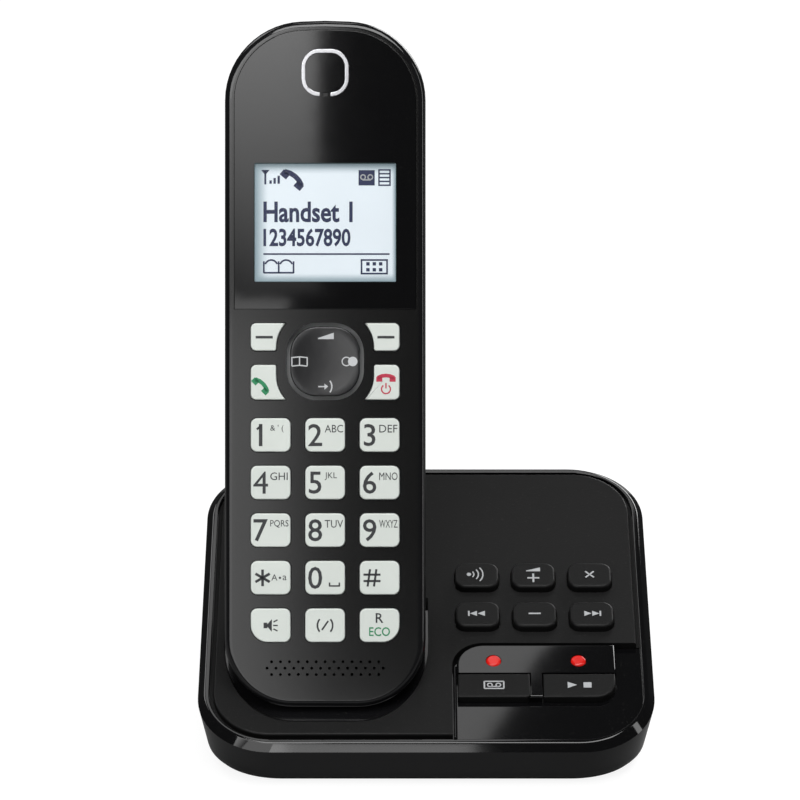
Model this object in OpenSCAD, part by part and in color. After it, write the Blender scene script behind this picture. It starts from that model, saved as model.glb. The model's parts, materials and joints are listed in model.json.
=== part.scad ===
// Cordless phone: a handset standing in a charging base with answering machine keys.
// Millimetres, +Z up, front towards -Y. The origin is on the table, under the middle of the object.

/* [Handset] */
// Width of the handset
handset_w = 47.3; // [46:0.1:58]
// Length of the handset's face
handset_l = 161.8; // [158:0.1:200]
// Thickness of the handset, face to back
handset_t = 26; // [25:0.1:32]
// Corner radius at the handset's top
handset_top_r = 18; // [12:0.5:20]
// Corner radius at the handset's foot
handset_foot_r = 16; // [10:0.5:18]
// How much higher the top's middle stands than its corners
handset_crown = 0.9; // [0.5:0.1:1.6]
// Radius of the rounding along the handset's back
back_r = 8; // [5:0.5:9]
// Width of the gloss bevel round the face
face_bevel = 1.9; // [1:0.1:2.5]
// Depth of that bevel
face_bevel_d = 1.5; // [0.8:0.1:2]
// Wall of the handset's cases
handset_wall = 1.6; // [1.2:0.1:2]
// Depth of the front case, face to parting line
front_depth = 9; // [8:0.5:10]

/* [Display] */
// Height of the gloss panel's lower edge on the face
panel_low = 93.6; // [92.5:0.1:95]
// Thickness of the gloss panel
panel_t = 1; // [0.8:0.1:1.2]
// Width of the display window
lcd_w = 33.3; // [28:0.1:36]
// Height of the display window
lcd_h = 27.8; // [22:0.1:30]
// Height of the window's centre on the face
lcd_y = 114.1; // [111:0.1:116]
// Outer width of the ring round the earpiece
ring_w = 11.2; // [9:0.1:13]
// Width of the ring's own line
ring_line = 1; // [0.8:0.1:1.5]
// Width of the ring's gap, which holds the sound hole
ring_gap = 2.4; // [1.8:0.1:3]
// Distance from the handset's top to the ring's centre
ring_down = 12.4; // [11:0.1:14]

/* [Handset keys] */
// Width of a number key
key_w = 9.35; // [8:0.05:10]
// Height of a number key
key_h = 7.9; // [7:0.05:8.5]
// Corner radius of a number key
key_r = 1.5; // [1:0.1:2]
// Outer corner radius of the two keys at the keypad's lower corners
key_end_r = 4; // [2:0.1:5]
// Sideways pitch of the number keys
key_pitch_x = 12.8; // [12.2:0.05:13.5]
// Pitch of the rows of number keys
key_pitch_y = 11.18; // [10.6:0.05:11.4]
// Height of the lowest row's centre on the face
key_row_y = 19.4; // [18.5:0.1:20.5]
// How far the keys stand out of the face
key_proud = 0.9; // [0.6:0.1:1.2]
// Travel of a handset key
key_travel = 0.6; // [0.4:0.1:0.7]
// Gap round each key in its opening
key_gap = 0.2; // [0.1:0.05:0.3]
// Height of the navigator's centre on the face
nav_y = 81.4; // [81:0.1:82]
// Width of the navigator key
nav_w = 16.4; // [15:0.1:17]
// Gap round the navigator key
nav_gap = 0.9; // [0.7:0.1:1.1]
// Distance from the navigator's opening to the keys round it
nav_land = 2.4; // [2:0.1:3]

/* [Battery] */
// Diameter of one battery
cell_d = 10.5; // [10:0.1:10.5]
// Length of one battery
cell_l = 44.5; // [43:0.1:45]
// Width of the battery door
door_w = 28; // [26:0.5:29]
// Thickness of the battery door
door_t = 1.6; // [1.4:0.1:1.8]
// Height of the door's lower edge
door_low = 31; // [30.5:0.1:33]
// How far the door slides down
door_slide = 5; // [3:0.5:5]

/* [Base] */
// Width from the cradle pocket to the base's right side
control_w = 53.45; // [52:0.1:66]
// Distance from the base's left side to the cradle pocket
pocket_side = 5.85; // [5.6:0.05:8]
// Length of the base along its sloping top
base_l = 95.6; // [90:0.1:116]
// Height of the base's widest line at the front
rim_z = 10.2; // [9.6:0.1:14]
// Slope of the base's top
slope = 18.5; // [17:0.5:20]
// Corner radius of the base's outline
rim_r = 17.4; // [15:0.1:20]
// How far the lower case draws in towards its foot
base_draft = 2.3; // [1:0.1:3]
// Wall of the lower case
base_wall = 2; // [1.6:0.1:2.2]
// Wall of the upper case
top_wall = 2; // [1.8:0.1:2.2]
// How far the feet stand out
foot_out = 1; // [0.6:0.1:1.5]
// Diameter of a foot
foot_d = 7; // [6:0.5:9]

/* [Trim] */
// Width of the trim ring seen from above
trim_w = 2.7; // [2.4:0.1:3]
// Width of the trim ring's bevel
trim_bevel = 1.5; // [1:0.1:1.8]
// Height of the trim ring
trim_h = 1.7; // [1.4:0.1:1.8]
// Width of the groove between the trim ring and the top
groove = 1; // [0.8:0.1:1.2]
// Height of the top surface over the base's widest line
top_n = 2.2; // [2:0.1:2.6]

/* [Cradle] */
// Angle at which the handset leans back
lean = 24; // [22:0.5:26]
// Distance along the slope from the base's front to the pocket
pocket_front = 7.7; // [7.2:0.1:9]
// Gap between the handset and the pocket's sides
pocket_gap = 0.7; // [0.5:0.1:1]
// Gap between the handset's foot and the pocket's floor
pocket_rest = 3; // [2.6:0.1:3.2]
// Wall of the cradle insert
insert_wall = 1.5; // [1.2:0.1:1.6]
// Diameter of a charge pin
pin_d = 1.5; // [1.2:0.1:1.6]
// Distance of a charge pin from the handset's middle
pin_x = 3.5; // [3:0.1:3.6]

/* [Base controls] */
// Length along the slope to the gloss control panel's upper edge
control_top = 33.1; // [32:0.1:33.5]
// Gap from the cradle pocket to the control panel
control_gap = 5.8; // [5.4:0.1:8]
// Radius of the control panel's upper corner
control_r = 7.5; // [5:0.5:9]
// Height of the control panel's low part over the widest line
control_n = 0.4; // [0.3:0.1:0.6]
// Width of a small base key
base_key_w = 10.6; // [9:0.1:11]
// Length of a small base key
base_key_l = 8.3; // [7:0.1:8.6]
// Corner radius of a small base key
base_key_r = 2.6; // [1.5:0.1:3]
// Sideways pitch of the small base keys
base_pitch_x = 13.7; // [13:0.1:14]
// Pitch of the two rows of small base keys
base_pitch_l = 13.25; // [12.5:0.05:13.5]
// Distance from the base's right side to the last key's centre
base_key_side = 14.15; // [13:0.1:15]
// Length along the slope to the lower row's centre
base_key_row = 41.3; // [41:0.1:43]
// How far the small base keys stand out
base_key_proud = 1.85; // [1.2:0.05:2]
// Travel of a base key
base_key_travel = 0.7; // [0.5:0.1:0.8]
// Width of a large base key
big_key_w = 17.2; // [16:0.1:17.5]
// Length along the slope to the large keys' front
big_key_low = 15.6; // [15:0.1:16]
// Length of a large key
big_key_l = 7.6; // [7:0.1:7.6]
// Width of the bridge between the large keys
bridge_w = 2.6; // [2:0.1:3]
// Diameter of an indicator light
light_d = 3.6; // [3:0.1:4]

/* [Hidden] */
$fn = 64;
eps = 0.01;
far = 400;

// Number and function keys of the handset: name, column, row
PAD = [
    ["key_speaker", -1, 0], ["key_intercom", 0, 0], ["key_flash", 1, 0],
    ["key_star", -1, 1], ["key_0", 0, 1], ["key_hash", 1, 1],
    ["key_7", -1, 2], ["key_8", 0, 2], ["key_9", 1, 2],
    ["key_4", -1, 3], ["key_5", 0, 3], ["key_6", 1, 3],
    ["key_1", -1, 4], ["key_2", 0, 4], ["key_3", 1, 4]
];
// Keys round the navigator: name, side, upper or lower
AROUND = [
    ["soft_key_left", -1, 1], ["soft_key_right", 1, 1],
    ["talk_key", -1, -1], ["off_key", 1, -1]
];
// Small keys of the base: name, column from the left, row
BASE_PAD = [
    ["page_key", 0, 1], ["volume_up_key", 1, 1], ["erase_key", 2, 1],
    ["rewind_key", 0, 0], ["volume_down_key", 1, 0], ["forward_key", 2, 0]
];

// Colours
gloss = "#101113";
matte = "#26272a";
satin = "#2e2f33";
white = "#e1e5e1";
metal = "#c8c9cc";
brass = "#c9a95a";
board = "#2f6b45";
rubber = "#1d1d1f";

// Places of the handset in its base
pocket_w = handset_w + 2 * pocket_gap;
base_w = pocket_side + pocket_w + control_w;
handset_x = -base_w / 2 + pocket_side + pocket_w / 2;
foot_l = pocket_front + pocket_rest / sin(slope + lean);
foot_y = foot_l * cos(slope) - top_n * sin(slope);
foot_z = rim_z + foot_l * sin(slope) + top_n * cos(slope);

// Depths and insets of the rounded back, from the start of the rounding to the back
BACK = [for (a = [0, 22.5, 45, 65, 90])
    [handset_t - back_r + back_r * sin(a), back_r * (1 - cos(a))]];
handset_reach = max([for (b = BACK) foot_y + (handset_l - b[1]) * sin(lean) + b[0] * cos(lean)]);
mid_y = max(handset_reach, base_l * cos(slope)) / 2;

// Levels behind the handset's face
face_wall = handset_wall;
flange_t = 0.6;
flange_top = face_wall + 0.1;
flange_w = 0.5;
mat_top = flange_top + flange_t + key_travel + 0.3;
mat_t = 1;
board_top = mat_top + mat_t + 0.1;
board_t = 1.2;
fit = 0.1;

// Levels of the base, measured square to its sloping top
plate_n = top_n - top_wall;
control_floor = control_n - 1.4;
floor_t = 1.2;
big_flange_n = control_floor - floor_t - 0.1;
base_mat_n = big_flange_n - 0.7 - base_key_travel - 0.3;
base_board_n = base_mat_n - 1.1;
control_left = handset_x + pocket_w / 2 + control_gap;
block_left = control_left + 0.9;
block_right = block_left + 2 * big_key_w + bridge_w + 2 * key_gap * 2;
block_top = top_n + 0.1;
light_l = 27.3;
base_floor = foot_out + base_wall;

// Screws of the base: x, y from the base's front line
SCREWS = [
    [-base_w / 2 + 8.2, base_l * cos(slope) - 24],
    [base_w / 2 - 8.2, base_l * cos(slope) - 24],
    [base_w / 2 - 8.2, 27],
    [handset_x + pocket_w / 2 + 5.2, 8.6]
];
screw_d = 2.5;
head_d = 4.6;
head_t = 1.8;
boss_d = 6;
boss_top = 9.5;

// Frames: the base's upright frame, its sloping top and the leaning handset
module upright() { translate([0, -mid_y, 0]) children(); }
module sloping() { translate([0, -mid_y, rim_z]) rotate([slope, 0, 0]) children(); }
module leaning() {
    translate([handset_x, foot_y - mid_y, foot_z]) rotate([90 - lean, 0, 0]) children();
}

// A plate of the 2D shape between two heights
module slab(low, high) { translate([0, 0, low]) linear_extrude(high - low) children(); }

// Rounded rectangle round the origin
module rounded(w, l, r) {
    square([w - 2 * r, l], center = true);
    square([w, l - 2 * r], center = true);
    for (sx = [-1, 1], sy = [-1, 1])
        translate([sx * (w / 2 - r), sy * (l / 2 - r)]) circle(r);
}

// Points of an arc round a centre
function arc(c, r, from, to, steps) =
    [for (i = [0:steps]) let (a = from + (to - from) * i / steps) c + r * [cos(a), sin(a)]];

// The handset's outline drawn in by an inset, with extra length at its foot
function handset_points(inset, foot = 0) =
    let (w = handset_w / 2 - inset,
         rt = handset_top_r - inset,
         rf = handset_foot_r - inset,
         low = inset - foot,
         shoulder = handset_l - inset - handset_crown - rt,
         flat = w - rt,
         crown_r = rt + (flat * flat + handset_crown * handset_crown) / (2 * handset_crown),
         crown_c = [0, handset_l - inset - crown_r],
         turn = atan2(shoulder - crown_c[1], flat))
    concat(
        arc([-(w - rf), low + rf], rf, 180, 270, 14),
        arc([w - rf, low + rf], rf, 270, 360, 14),
        arc([flat, shoulder], rt, 0, turn, 14),
        [for (i = [1:7]) arc(crown_c, crown_r, turn, 180 - turn, 8)[i]],
        arc([-flat, shoulder], rt, 180 - turn, 180, 14));
module handset_outline(inset = 0, foot = 0) { polygon(handset_points(inset, foot)); }

// A closed body through outlines at rising depths: each layer is [z, inset]
module handset_loft(layers) {
    rings = [for (l = layers) [for (p = handset_points(l[1])) [p[0], p[1], l[0]]]];
    n = len(rings[0]);
    last = len(rings) - 1;
    sides = [for (i = [0:last - 1], j = [0:n - 1]) let (k = (j + 1) % n)
        each [[i * n + j, (i + 1) * n + j, (i + 1) * n + k], [i * n + j, (i + 1) * n + k, i * n + k]]];
    polyhedron(
        points = [for (r = rings) each r],
        faces = concat([[for (j = [0:n - 1]) j]], sides, [[for (j = [0:n - 1]) last * n + n - 1 - j]]));
}

// The base's outline parallel to its sloping top
module rim_outline(inset = 0) {
    translate([0, base_l / 2])
        rounded(base_w - 2 * inset, base_l - 2 * inset, max(rim_r - inset, 1));
}

// The base's outline where it stands
module foot_outline(inset) {
    depth = base_l * cos(slope);
    translate([0, depth / 2])
        rounded(base_w - 2 * inset, depth - 2 * inset, 21 + base_draft - inset);
}

// Outline of the gloss control panel
module control_outline(grow = 0) {
    intersection() {
        rim_outline(trim_w + 0.05 - grow);
        union() {
            translate([control_left - grow, -10])
                square([far, 10 + control_top - control_r]);
            translate([control_left + control_r, -10])
                square([far, 10 + control_top + grow]);
            translate([control_left + control_r, control_top - control_r])
                circle(control_r + grow);
        }
    }
}

// Outline of the raised block that holds the lights and the large keys
module block_outline(grow = 0) {
    intersection() {
        control_outline(grow - 0.4);
        union() {
            translate([block_left - grow, big_key_low])
                square([block_right - block_left + 2 * grow - 5, far]);
            translate([block_left - grow, big_key_low + 5])
                square([block_right - block_left + 2 * grow, far]);
            translate([block_right - 5, big_key_low + 5]) circle(5 + grow);
        }
    }
}

// Outline of a large key: side -1 is the left one, 1 the right one
module big_key_outline(side, grow = 0) {
    key_x = side < 0 ? block_left + key_gap : block_right - key_gap - big_key_w;
    r = (side < 0 ? 1 : 4.8) + grow;
    translate([key_x - grow, big_key_low - grow]) {
        square([big_key_w + 2 * grow - r, big_key_l + 2 * grow]);
        translate([0, r]) square([big_key_w + 2 * grow, big_key_l + 2 * grow - r]);
        translate([big_key_w + 2 * grow - r, r]) circle(r);
    }
}

// Outline of a number key
module pad_outline(k, grow = 0) {
    translate([k[1] * key_pitch_x, key_row_y + k[2] * key_pitch_y]) {
        difference() {
            rounded(key_w + 2 * grow, key_h + 2 * grow, key_r + grow);
            if (k[1] != 0 && k[2] == 0)
                translate([k[1] * (key_w / 2 + grow), -key_h / 2 - grow]) difference() {
                    square(2 * (key_end_r + grow), center = true);
                    translate([-k[1] * (key_end_r + grow), key_end_r + grow])
                        circle(key_end_r + grow);
                }
        }
    }
}

// Outline of a key beside the navigator, hollowed to follow the navigator's ring
module around_outline(k, grow = 0) {
    high = k[2] > 0 ? 6.5 : 8.2;
    low_edge = k[2] > 0 ? 2.5 : -9;
    ring = nav_w / 2 + nav_gap + nav_land - grow;
    outer = key_pitch_x + key_w / 2;
    difference() {
        translate([k[1] * (outer - 4.5), nav_y + low_edge + high / 2])
            rounded(9 + 2 * grow, high + 2 * grow, 1.3 + grow);
        translate([0, nav_y]) rounded(2 * ring, 2 * ring, ring - 3.4);
    }
}

// The navigator's outline
module nav_outline(grow = 0) {
    translate([0, nav_y]) rounded(nav_w + 2 * grow, nav_w + 2 * grow, 6.2 + grow);
}

// One handset key: a cap in its opening and a flange behind the face
module face_key() {
    slab(-flange_top, key_proud) children(0);
    slab(-flange_top - flange_t, -flange_top) children(1);
}

// ---------- Handset ----------

module handset_front_case() {
    color(satin) leaning() difference() {
        handset_loft([[-front_depth, 0], [-face_bevel_d, 0], [0, face_bevel]]);
        // Room inside, with a thicker face behind the gloss panel
        slab(-front_depth - 1, -face_wall - panel_t) handset_outline(handset_wall);
        slab(-front_depth - 1, -face_wall) intersection() {
            handset_outline(handset_wall + 0.6);
            translate([-far / 2, 0]) square([far, panel_low - 1]);
        }
        // Seat of the gloss panel
        slab(-panel_t, 1) intersection() {
            handset_outline(face_bevel + 0.3);
            translate([-far / 2, panel_low]) square([far, far]);
        }
        // Display window and the earpiece's sound hole
        slab(-5, 1) translate([0, lcd_y])
            square([lcd_w + 4 * fit, lcd_h + 4 * fit], center = true);
        slab(-5, 1) ear_hole();
        // Key openings
        for (k = PAD) slab(-5, 1) pad_outline(k, key_gap);
        for (k = AROUND) slab(-5, 1) around_outline(k, key_gap);
        slab(-5, 1) nav_outline(nav_gap);
        // Microphone holes, in staggered rows
        for (row = [0:2], i = [0:12 + row % 2])
            translate([(i - 6 - (row % 2) / 2) * 2.1, 7.8 + row * 1.5, -5])
                cylinder(d = 0.7, h = 6, $fn = 16);
    }
    // Screw bosses
    color(satin) leaning() for (s = [-1, 1]) translate([s * 12, handset_l - 20, 0])
        difference() {
            translate([0, 0, -front_depth]) cylinder(d = 5, h = front_depth - 2);
            translate([0, 0, -front_depth - 1]) cylinder(d = 2.1, h = front_depth - 3);
        }
}

// The back's rounded volume, drawn in by a wall
module rear_volume(wall, front) {
    handset_loft(concat(
        [for (i = [len(BACK) - 1:-1:0]) [-BACK[i][0] + wall, wall + BACK[i][1]]],
        [[front, wall]]));
}

cell_z = handset_t - door_t - 0.5 - cell_d / 2;
cell_x = cell_d / 2 + 0.2;
cell_low = door_low + 4;
bay_w = 2 * cell_d + 1.4;
bay_l = cell_l + 2.6;
bay_top = handset_t - door_t - cell_d - 1.4;

module handset_rear_case() {
    color(matte) leaning() difference() {
        union() {
            difference() {
                rear_volume(0, -front_depth);
                rear_volume(handset_wall, -front_depth + 1);
            }
            // Battery bay and the ledge that the door slides in
            translate([-door_w / 2 - 1.4, door_low - door_slide - 1.4, -handset_t + 0.8])
                cube([door_w + 2.8, door_slide + bay_l + 10, handset_t - 0.8 - bay_top + 1.2]);
            // Screw towers
            for (s = [-1, 1]) translate([s * 12, handset_l - 20, -handset_t + 0.8])
                cylinder(d = 6.4, h = handset_t - 0.8 - front_depth - 0.05);
            // Rim that holds the ringer
            translate([0, 106, -handset_t + 0.8]) difference() {
                cylinder(d = 23.4, h = 4.2);
                translate([0, 0, -1]) cylinder(d = 20.6, h = 6);
            }
        }
        // Door seat, open below the door so that it can slide
        translate([-door_w / 2 - 0.15, door_low - door_slide - 0.15, -handset_t - 1])
            cube([door_w + 0.3, door_slide + bay_l + 7.3, door_t + 1.1]);
        // Battery bay
        translate([-bay_w / 2, cell_low - 1.3, -handset_t - 1])
            cube([bay_w, bay_l, handset_t - bay_top + 1]);
        // Counterbores and screw holes
        for (s = [-1, 1]) translate([s * 12, handset_l - 20, 0]) {
            translate([0, 0, -handset_t - 1]) cylinder(d = head_d, h = 13);
            translate([0, 0, -handset_t]) cylinder(d = 2.3, h = handset_t - front_depth + 1);
        }
        // Sound slots of the ringer
        for (i = [-2:2]) translate([-5, 106 + i * 2.6 - 0.5, -handset_t - 1]) cube([10, 1, 4]);
        // Seats of the charge plates
        for (s = [-1, 1]) translate([s * pin_x - 2.2, -1, -17.2])
            cube([4.4, 1.45, 7.4]);
    }
}

module display_panel() {
    color(gloss) leaning() slab(-panel_t + 0.02, 0) difference() {
        intersection() {
            handset_outline(face_bevel + 0.4);
            translate([-far / 2, panel_low + 0.1]) square([far, far]);
        }
        translate([0, lcd_y]) square([lcd_w + 2 * fit, lcd_h + 2 * fit], center = true);
        translate([0, handset_l - ring_down]) ring_2d(fit);
        ear_hole();
    }
}

module display_lens() {
    color("#e8f0f6") leaning() slab(-panel_t + 0.1, 0)
        translate([0, lcd_y]) square([lcd_w, lcd_h], center = true);
}

// The open ring round the earpiece
module ring_2d(grow = 0) {
    difference() {
        rounded(ring_w + 2 * grow, ring_w + 2 * grow, ring_w * 0.38 + grow);
        rounded(ring_w - 2 * ring_line - 2 * grow, ring_w - 2 * ring_line - 2 * grow,
            ring_w * 0.38 - ring_line - grow);
        translate([-ring_gap / 2 + grow, -ring_w]) square([ring_gap - 2 * grow, ring_w]);
    }
}

// The earpiece's sound hole, in the ring's gap
module ear_hole() {
    translate([0, handset_l - ring_down - (ring_w - ring_line) / 2])
        square([ring_gap / 2, ring_line], center = true);
}

module earpiece_ring() {
    color(metal) leaning() translate([0, handset_l - ring_down, 0]) slab(-panel_t + 0.1, 0.2)
        ring_2d();
}

module lcd_module() {
    color("#cfdde6") leaning() translate([0, lcd_y, 0]) {
        slab(-face_wall - panel_t - 0.1, -panel_t) square([lcd_w, lcd_h], center = true);
        slab(-board_top + 0.1, -face_wall - panel_t - 0.1)
            square([lcd_w + 4, lcd_h + 5], center = true);
    }
}

module handset_circuit_board() {
    board_l = handset_l - 26 - 14;
    color(board) leaning() slab(-board_top - board_t, -board_top)
        translate([0, 14 + board_l / 2]) rounded(handset_w - 7.3, board_l, 3);
}

module keypad_mat() {
    color("#b9bcbb") leaning() slab(-mat_top - mat_t, -mat_top)
        translate([0, 14 + 39]) rounded(handset_w - 9.3, 78, 2);
}

module earpiece_speaker() {
    color("#6b6d70") leaning() translate([0, handset_l - ring_down, 0]) {
        translate([0, 0, -face_wall - panel_t - 2.7]) cylinder(d = 18, h = 2.6);
    }
}

module ringer_speaker() {
    color("#6b6d70") leaning() translate([0, 106, -handset_t + handset_wall + 0.05])
        cylinder(d = 20, h = 3.2);
}

module microphone() {
    color("#8b8d90") leaning() translate([0, 9.3, -face_wall - 1.7]) cylinder(d = 6, h = 1.6);
}

module batteries() {
    color("#3f7f52") leaning() for (s = [-1, 1])
        translate([s * cell_x, cell_low + cell_l, -cell_z]) rotate([90, 0, 0]) {
            cylinder(d = cell_d, h = cell_l - 1);
            translate([0, 0, s > 0 ? cell_l - 1.01 : -0.8]) cylinder(d = 4, h = 0.81);
        }
}

module battery_springs() {
    color(metal) leaning() for (s = [-1, 1])
        translate([s * cell_x, s > 0 ? cell_low + cell_l + 0.05 : cell_low + 0.95, -cell_z])
            rotate([s > 0 ? -90 : 90, 0, 0]) difference() {
                cylinder(d1 = 5, d2 = 7.5, h = 1.1);
                translate([0, 0, -1]) cylinder(d = 3, h = 4);
            }
}

module battery_door() {
    color(matte) leaning() {
        translate([-door_w / 2, door_low, -handset_t]) difference() {
            cube([door_w, bay_l + 7, door_t]);
            // Grip ridges
            for (i = [0:3]) translate([door_w / 2 - 5, 5 + i * 2, -1]) cube([10, 0.8, 1.4]);
        }
    }
}

module handset_charge_plates() {
    color(metal) leaning() for (s = [-1, 1])
        translate([s * pin_x - 2.1, 0, -17.1]) cube([4.2, 0.4, 7.2]);
}

module handset_screws() {
    color(metal) leaning() for (s = [-1, 1]) translate([s * 12, handset_l - 20, 0]) {
        translate([0, 0, -handset_t + 10.3]) difference() {
            cylinder(d = head_d - 0.4, h = 1.65);
            for (a = [0, 90]) rotate(a) cube([2.6, 0.6, 1.6], center = true);
        }
        translate([0, 0, -handset_t + 11.9]) cylinder(d = 2, h = handset_t - 11.9 - 4);
    }
}

module navigator_key() {
    color("#17181a") leaning() {
        difference() {
            slab(-1, key_proud) nav_outline();
            // Shallow dish for the fingertip
            translate([0, nav_y, key_proud + 59.7]) sphere(r = 60, $fn = 100);
        }
        translate([0, nav_y, -1.5]) cylinder(d = 7, h = 0.6);
    }
}

module navigator_pivot() {
    color(rubber) leaning() translate([0, nav_y, -mat_top + 0.3])
        cylinder(d = 5, h = mat_top - 0.3 - 1.8);
}

module pad_key(k) {
    color(white) leaning() face_key() {
        pad_outline(k);
        pad_outline(k, flange_w);
    }
}

module around_key(k) {
    color(white) leaning() face_key() {
        around_outline(k);
        around_outline(k, flange_w);
    }
}

// ---------- Base ----------

module base_trim() {
    color(gloss) sloping() difference() {
        union() {
            hull() {
                slab(0, eps) rim_outline();
                slab(trim_h - eps, trim_h) rim_outline(trim_bevel);
            }
            slab(-0.8, eps) rim_outline(base_wall + 0.4);
        }
        slab(-3, 5) rim_outline(trim_w);
    }
}

// Where a small base key stands, counted from the left and the front
function key_place(k) = [
    base_w / 2 - base_key_side - (2 - k[1]) * base_pitch_x,
    base_key_row + k[2] * base_pitch_l
];

// Outline of a small base key
module base_key_outline(k, grow = 0) {
    translate(key_place(k))
        rounded(base_key_w + 2 * grow, base_key_l + 2 * grow, base_key_r + grow);
}

// Slab that keeps everything below the top plate
module below_top(n) {
    sloping() translate([-far / 2, -far / 2, n - far]) cube([far, far, far]);
}

// The cradle pocket, grown by a wall
module pocket(wall) {
    leaning() slab(-handset_t - pocket_gap - wall, 30)
        handset_outline(-pocket_gap - wall, pocket_rest - pocket_gap);
}

module base_upper_case() {
    color(matte) difference() {
        union() {
            sloping() {
                slab(plate_n, top_n) rim_outline(trim_w + groove);
                // Skirt inside the trim ring
                slab(plate_n - 2, trim_h - 1) difference() {
                    rim_outline(trim_w + 0.1);
                    rim_outline(trim_w + 3.3);
                }
                // Floor and wall under the control panel
                slab(control_floor - floor_t, control_floor + 0.5) intersection() {
                    rim_outline(trim_w + 0.1);
                    control_outline(1.6);
                }
                slab(control_floor - floor_t, top_n) intersection() {
                    rim_outline(trim_w + groove);
                    control_outline(1.6);
                }
            }
            // Screw bosses
            intersection() {
                upright() for (p = SCREWS) translate([p[0], p[1], boss_top + 0.1])
                    cylinder(d = boss_d, h = 60);
                below_top(plate_n + eps);
            }
        }
        sloping() {
            // Seat of the control panel
            slab(control_floor, 10) intersection() {
                control_outline(0.15);
                rim_outline(trim_w);
            }
            for (k = BASE_PAD) slab(-3, 6) base_key_outline(k, key_gap);
            for (s = [-1, 1]) slab(-5, 6) big_key_outline(s, key_gap);
            for (s = [-1, 1]) translate([light_x(s), light_l, -6])
                cylinder(d = light_d + 0.4, h = 12);
        }
        pocket(0);
        // Room for the cradle insert under the top plate
        intersection() {
            pocket(insert_wall + 0.1);
            below_top(plate_n);
        }
        upright() for (p = SCREWS) translate([p[0], p[1], 0])
            cylinder(d = screw_d + 0.1, h = boss_top + 2.2);
    }
}

function light_x(s) = (s < 0 ? block_left + key_gap : block_right - key_gap - big_key_w)
    + big_key_w / 2;

module control_panel() {
    color(gloss) sloping() difference() {
        union() {
            slab(control_floor + 0.02, control_n) intersection() {
                control_outline();
                rim_outline(trim_w + 0.1);
            }
            slab(control_floor + 0.1, block_top) block_outline();
            // Raised lip along the left edge
            slab(control_floor + 0.1, block_top) intersection() {
                control_outline();
                translate([control_left, 0]) square([0.9, control_top - control_r]);
            }
        }
        for (s = [-1, 1]) slab(-5, 6) big_key_outline(s, key_gap);
        for (s = [-1, 1]) translate([light_x(s), light_l, -6])
            cylinder(d = light_d + 0.2, h = 12);
    }
}

module big_key(side) {
    color(matte) sloping() {
        slab(big_flange_n, block_top) big_key_outline(side);
        slab(big_flange_n - 0.7, big_flange_n) big_key_outline(side, flange_w);
    }
}
module answer_key() { big_key(-1); }
module play_key() { big_key(1); }

module small_key(k) {
    color(matte) sloping() {
        slab(plate_n - 0.9, top_n + base_key_proud) base_key_outline(k);
        slab(plate_n - 0.9, plate_n - 0.1) base_key_outline(k, flange_w);
        translate([key_place(k)[0], key_place(k)[1], big_flange_n - 0.7])
            cylinder(d = 4, h = 3);
    }
}

module indicator_lights() {
    color("#e02020") sloping() for (s = [-1, 1])
        translate([light_x(s), light_l, base_mat_n + 0.1])
            cylinder(d = light_d, h = block_top + 0.3 - base_mat_n - 0.1);
}

// Outline shared by the base's keypad mat and circuit board
module base_board_outline(inset) {
    low = 12 + inset;
    high = base_key_row + base_pitch_l + 9 - inset;
    left = control_left + inset;
    right = base_w / 2 - 6 - inset;
    difference() {
        translate([(left + right) / 2, (low + high) / 2]) rounded(right - left, high - low, 3);
        for (p = SCREWS) translate([p[0], p[1] / cos(slope)]) circle(d = boss_d + 5);
    }
}

module base_keypad_mat() {
    color("#b9bcbb") sloping() slab(base_mat_n - 1, base_mat_n) base_board_outline(1);
}

module base_circuit_board() {
    color(board) sloping() slab(base_board_n - 1.2, base_board_n) base_board_outline(0);
}

speaker_x = base_w / 2 - 28;
speaker_y = base_l * cos(slope) - 26;

module base_speaker() {
    color("#6b6d70") upright() translate([speaker_x, speaker_y, base_floor + 0.05]) {
        cylinder(d = 28, h = 3);
        cylinder(d = 14, h = 8);
    }
}

jack_y = base_l * cos(slope) - 3;
jack_z = 12;
line_x = -8;
power_x = -28;

// Lower case: walls that draw in towards the foot, bosses, foot seats and jack openings
module base_lower_case() {
    color(matte) difference() {
        union() {
            difference() {
                hull() {
                    sloping() slab(-eps, 0) rim_outline();
                    upright() slab(foot_out + 2, foot_out + 2 + eps) foot_outline(base_draft);
                    upright() slab(foot_out, foot_out + eps) foot_outline(base_draft + 1.6);
                }
                hull() {
                    sloping() slab(0, 1) rim_outline(base_wall);
                    upright() slab(base_floor, base_floor + eps)
                        foot_outline(base_draft + base_wall + 0.4);
                }
            }
            upright() for (p = SCREWS) translate([p[0], p[1], foot_out + 0.5])
                cylinder(d = boss_d + 1, h = boss_top - foot_out - 0.5);
        }
        upright() for (p = SCREWS) translate([p[0], p[1], 0]) {
            cylinder(d = head_d, h = boss_top - 3);
            cylinder(d = screw_d + 0.3, h = boss_top + 1);
        }
        upright() for (p = FEET) translate([p[0], p[1], 0])
            cylinder(d = foot_d + 0.3, h = foot_out + 1.1);
        // Jack openings in the rear wall
        upright() translate([line_x - 5.5, jack_y - 3, jack_z - 5]) cube([11, 20, 10]);
        upright() translate([power_x, jack_y - 3, jack_z]) rotate([-90, 0, 0])
            cylinder(d = 9.4, h = 20);
        // Sound slots of the speaker
        upright() for (i = [-3:3]) translate([speaker_x + i * 3 - 0.6, speaker_y - 8, 0])
            cube([1.2, 16, 5]);
    }
}

FEET = [for (sx = [-1, 1], y = [14, base_l * cos(slope) - 12]) [sx * (base_w / 2 - 18.7), y]];

module rubber_feet() {
    color(rubber) upright() for (p = FEET) translate([p[0], p[1], 0])
        cylinder(d = foot_d, h = foot_out + 1);
}

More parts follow.
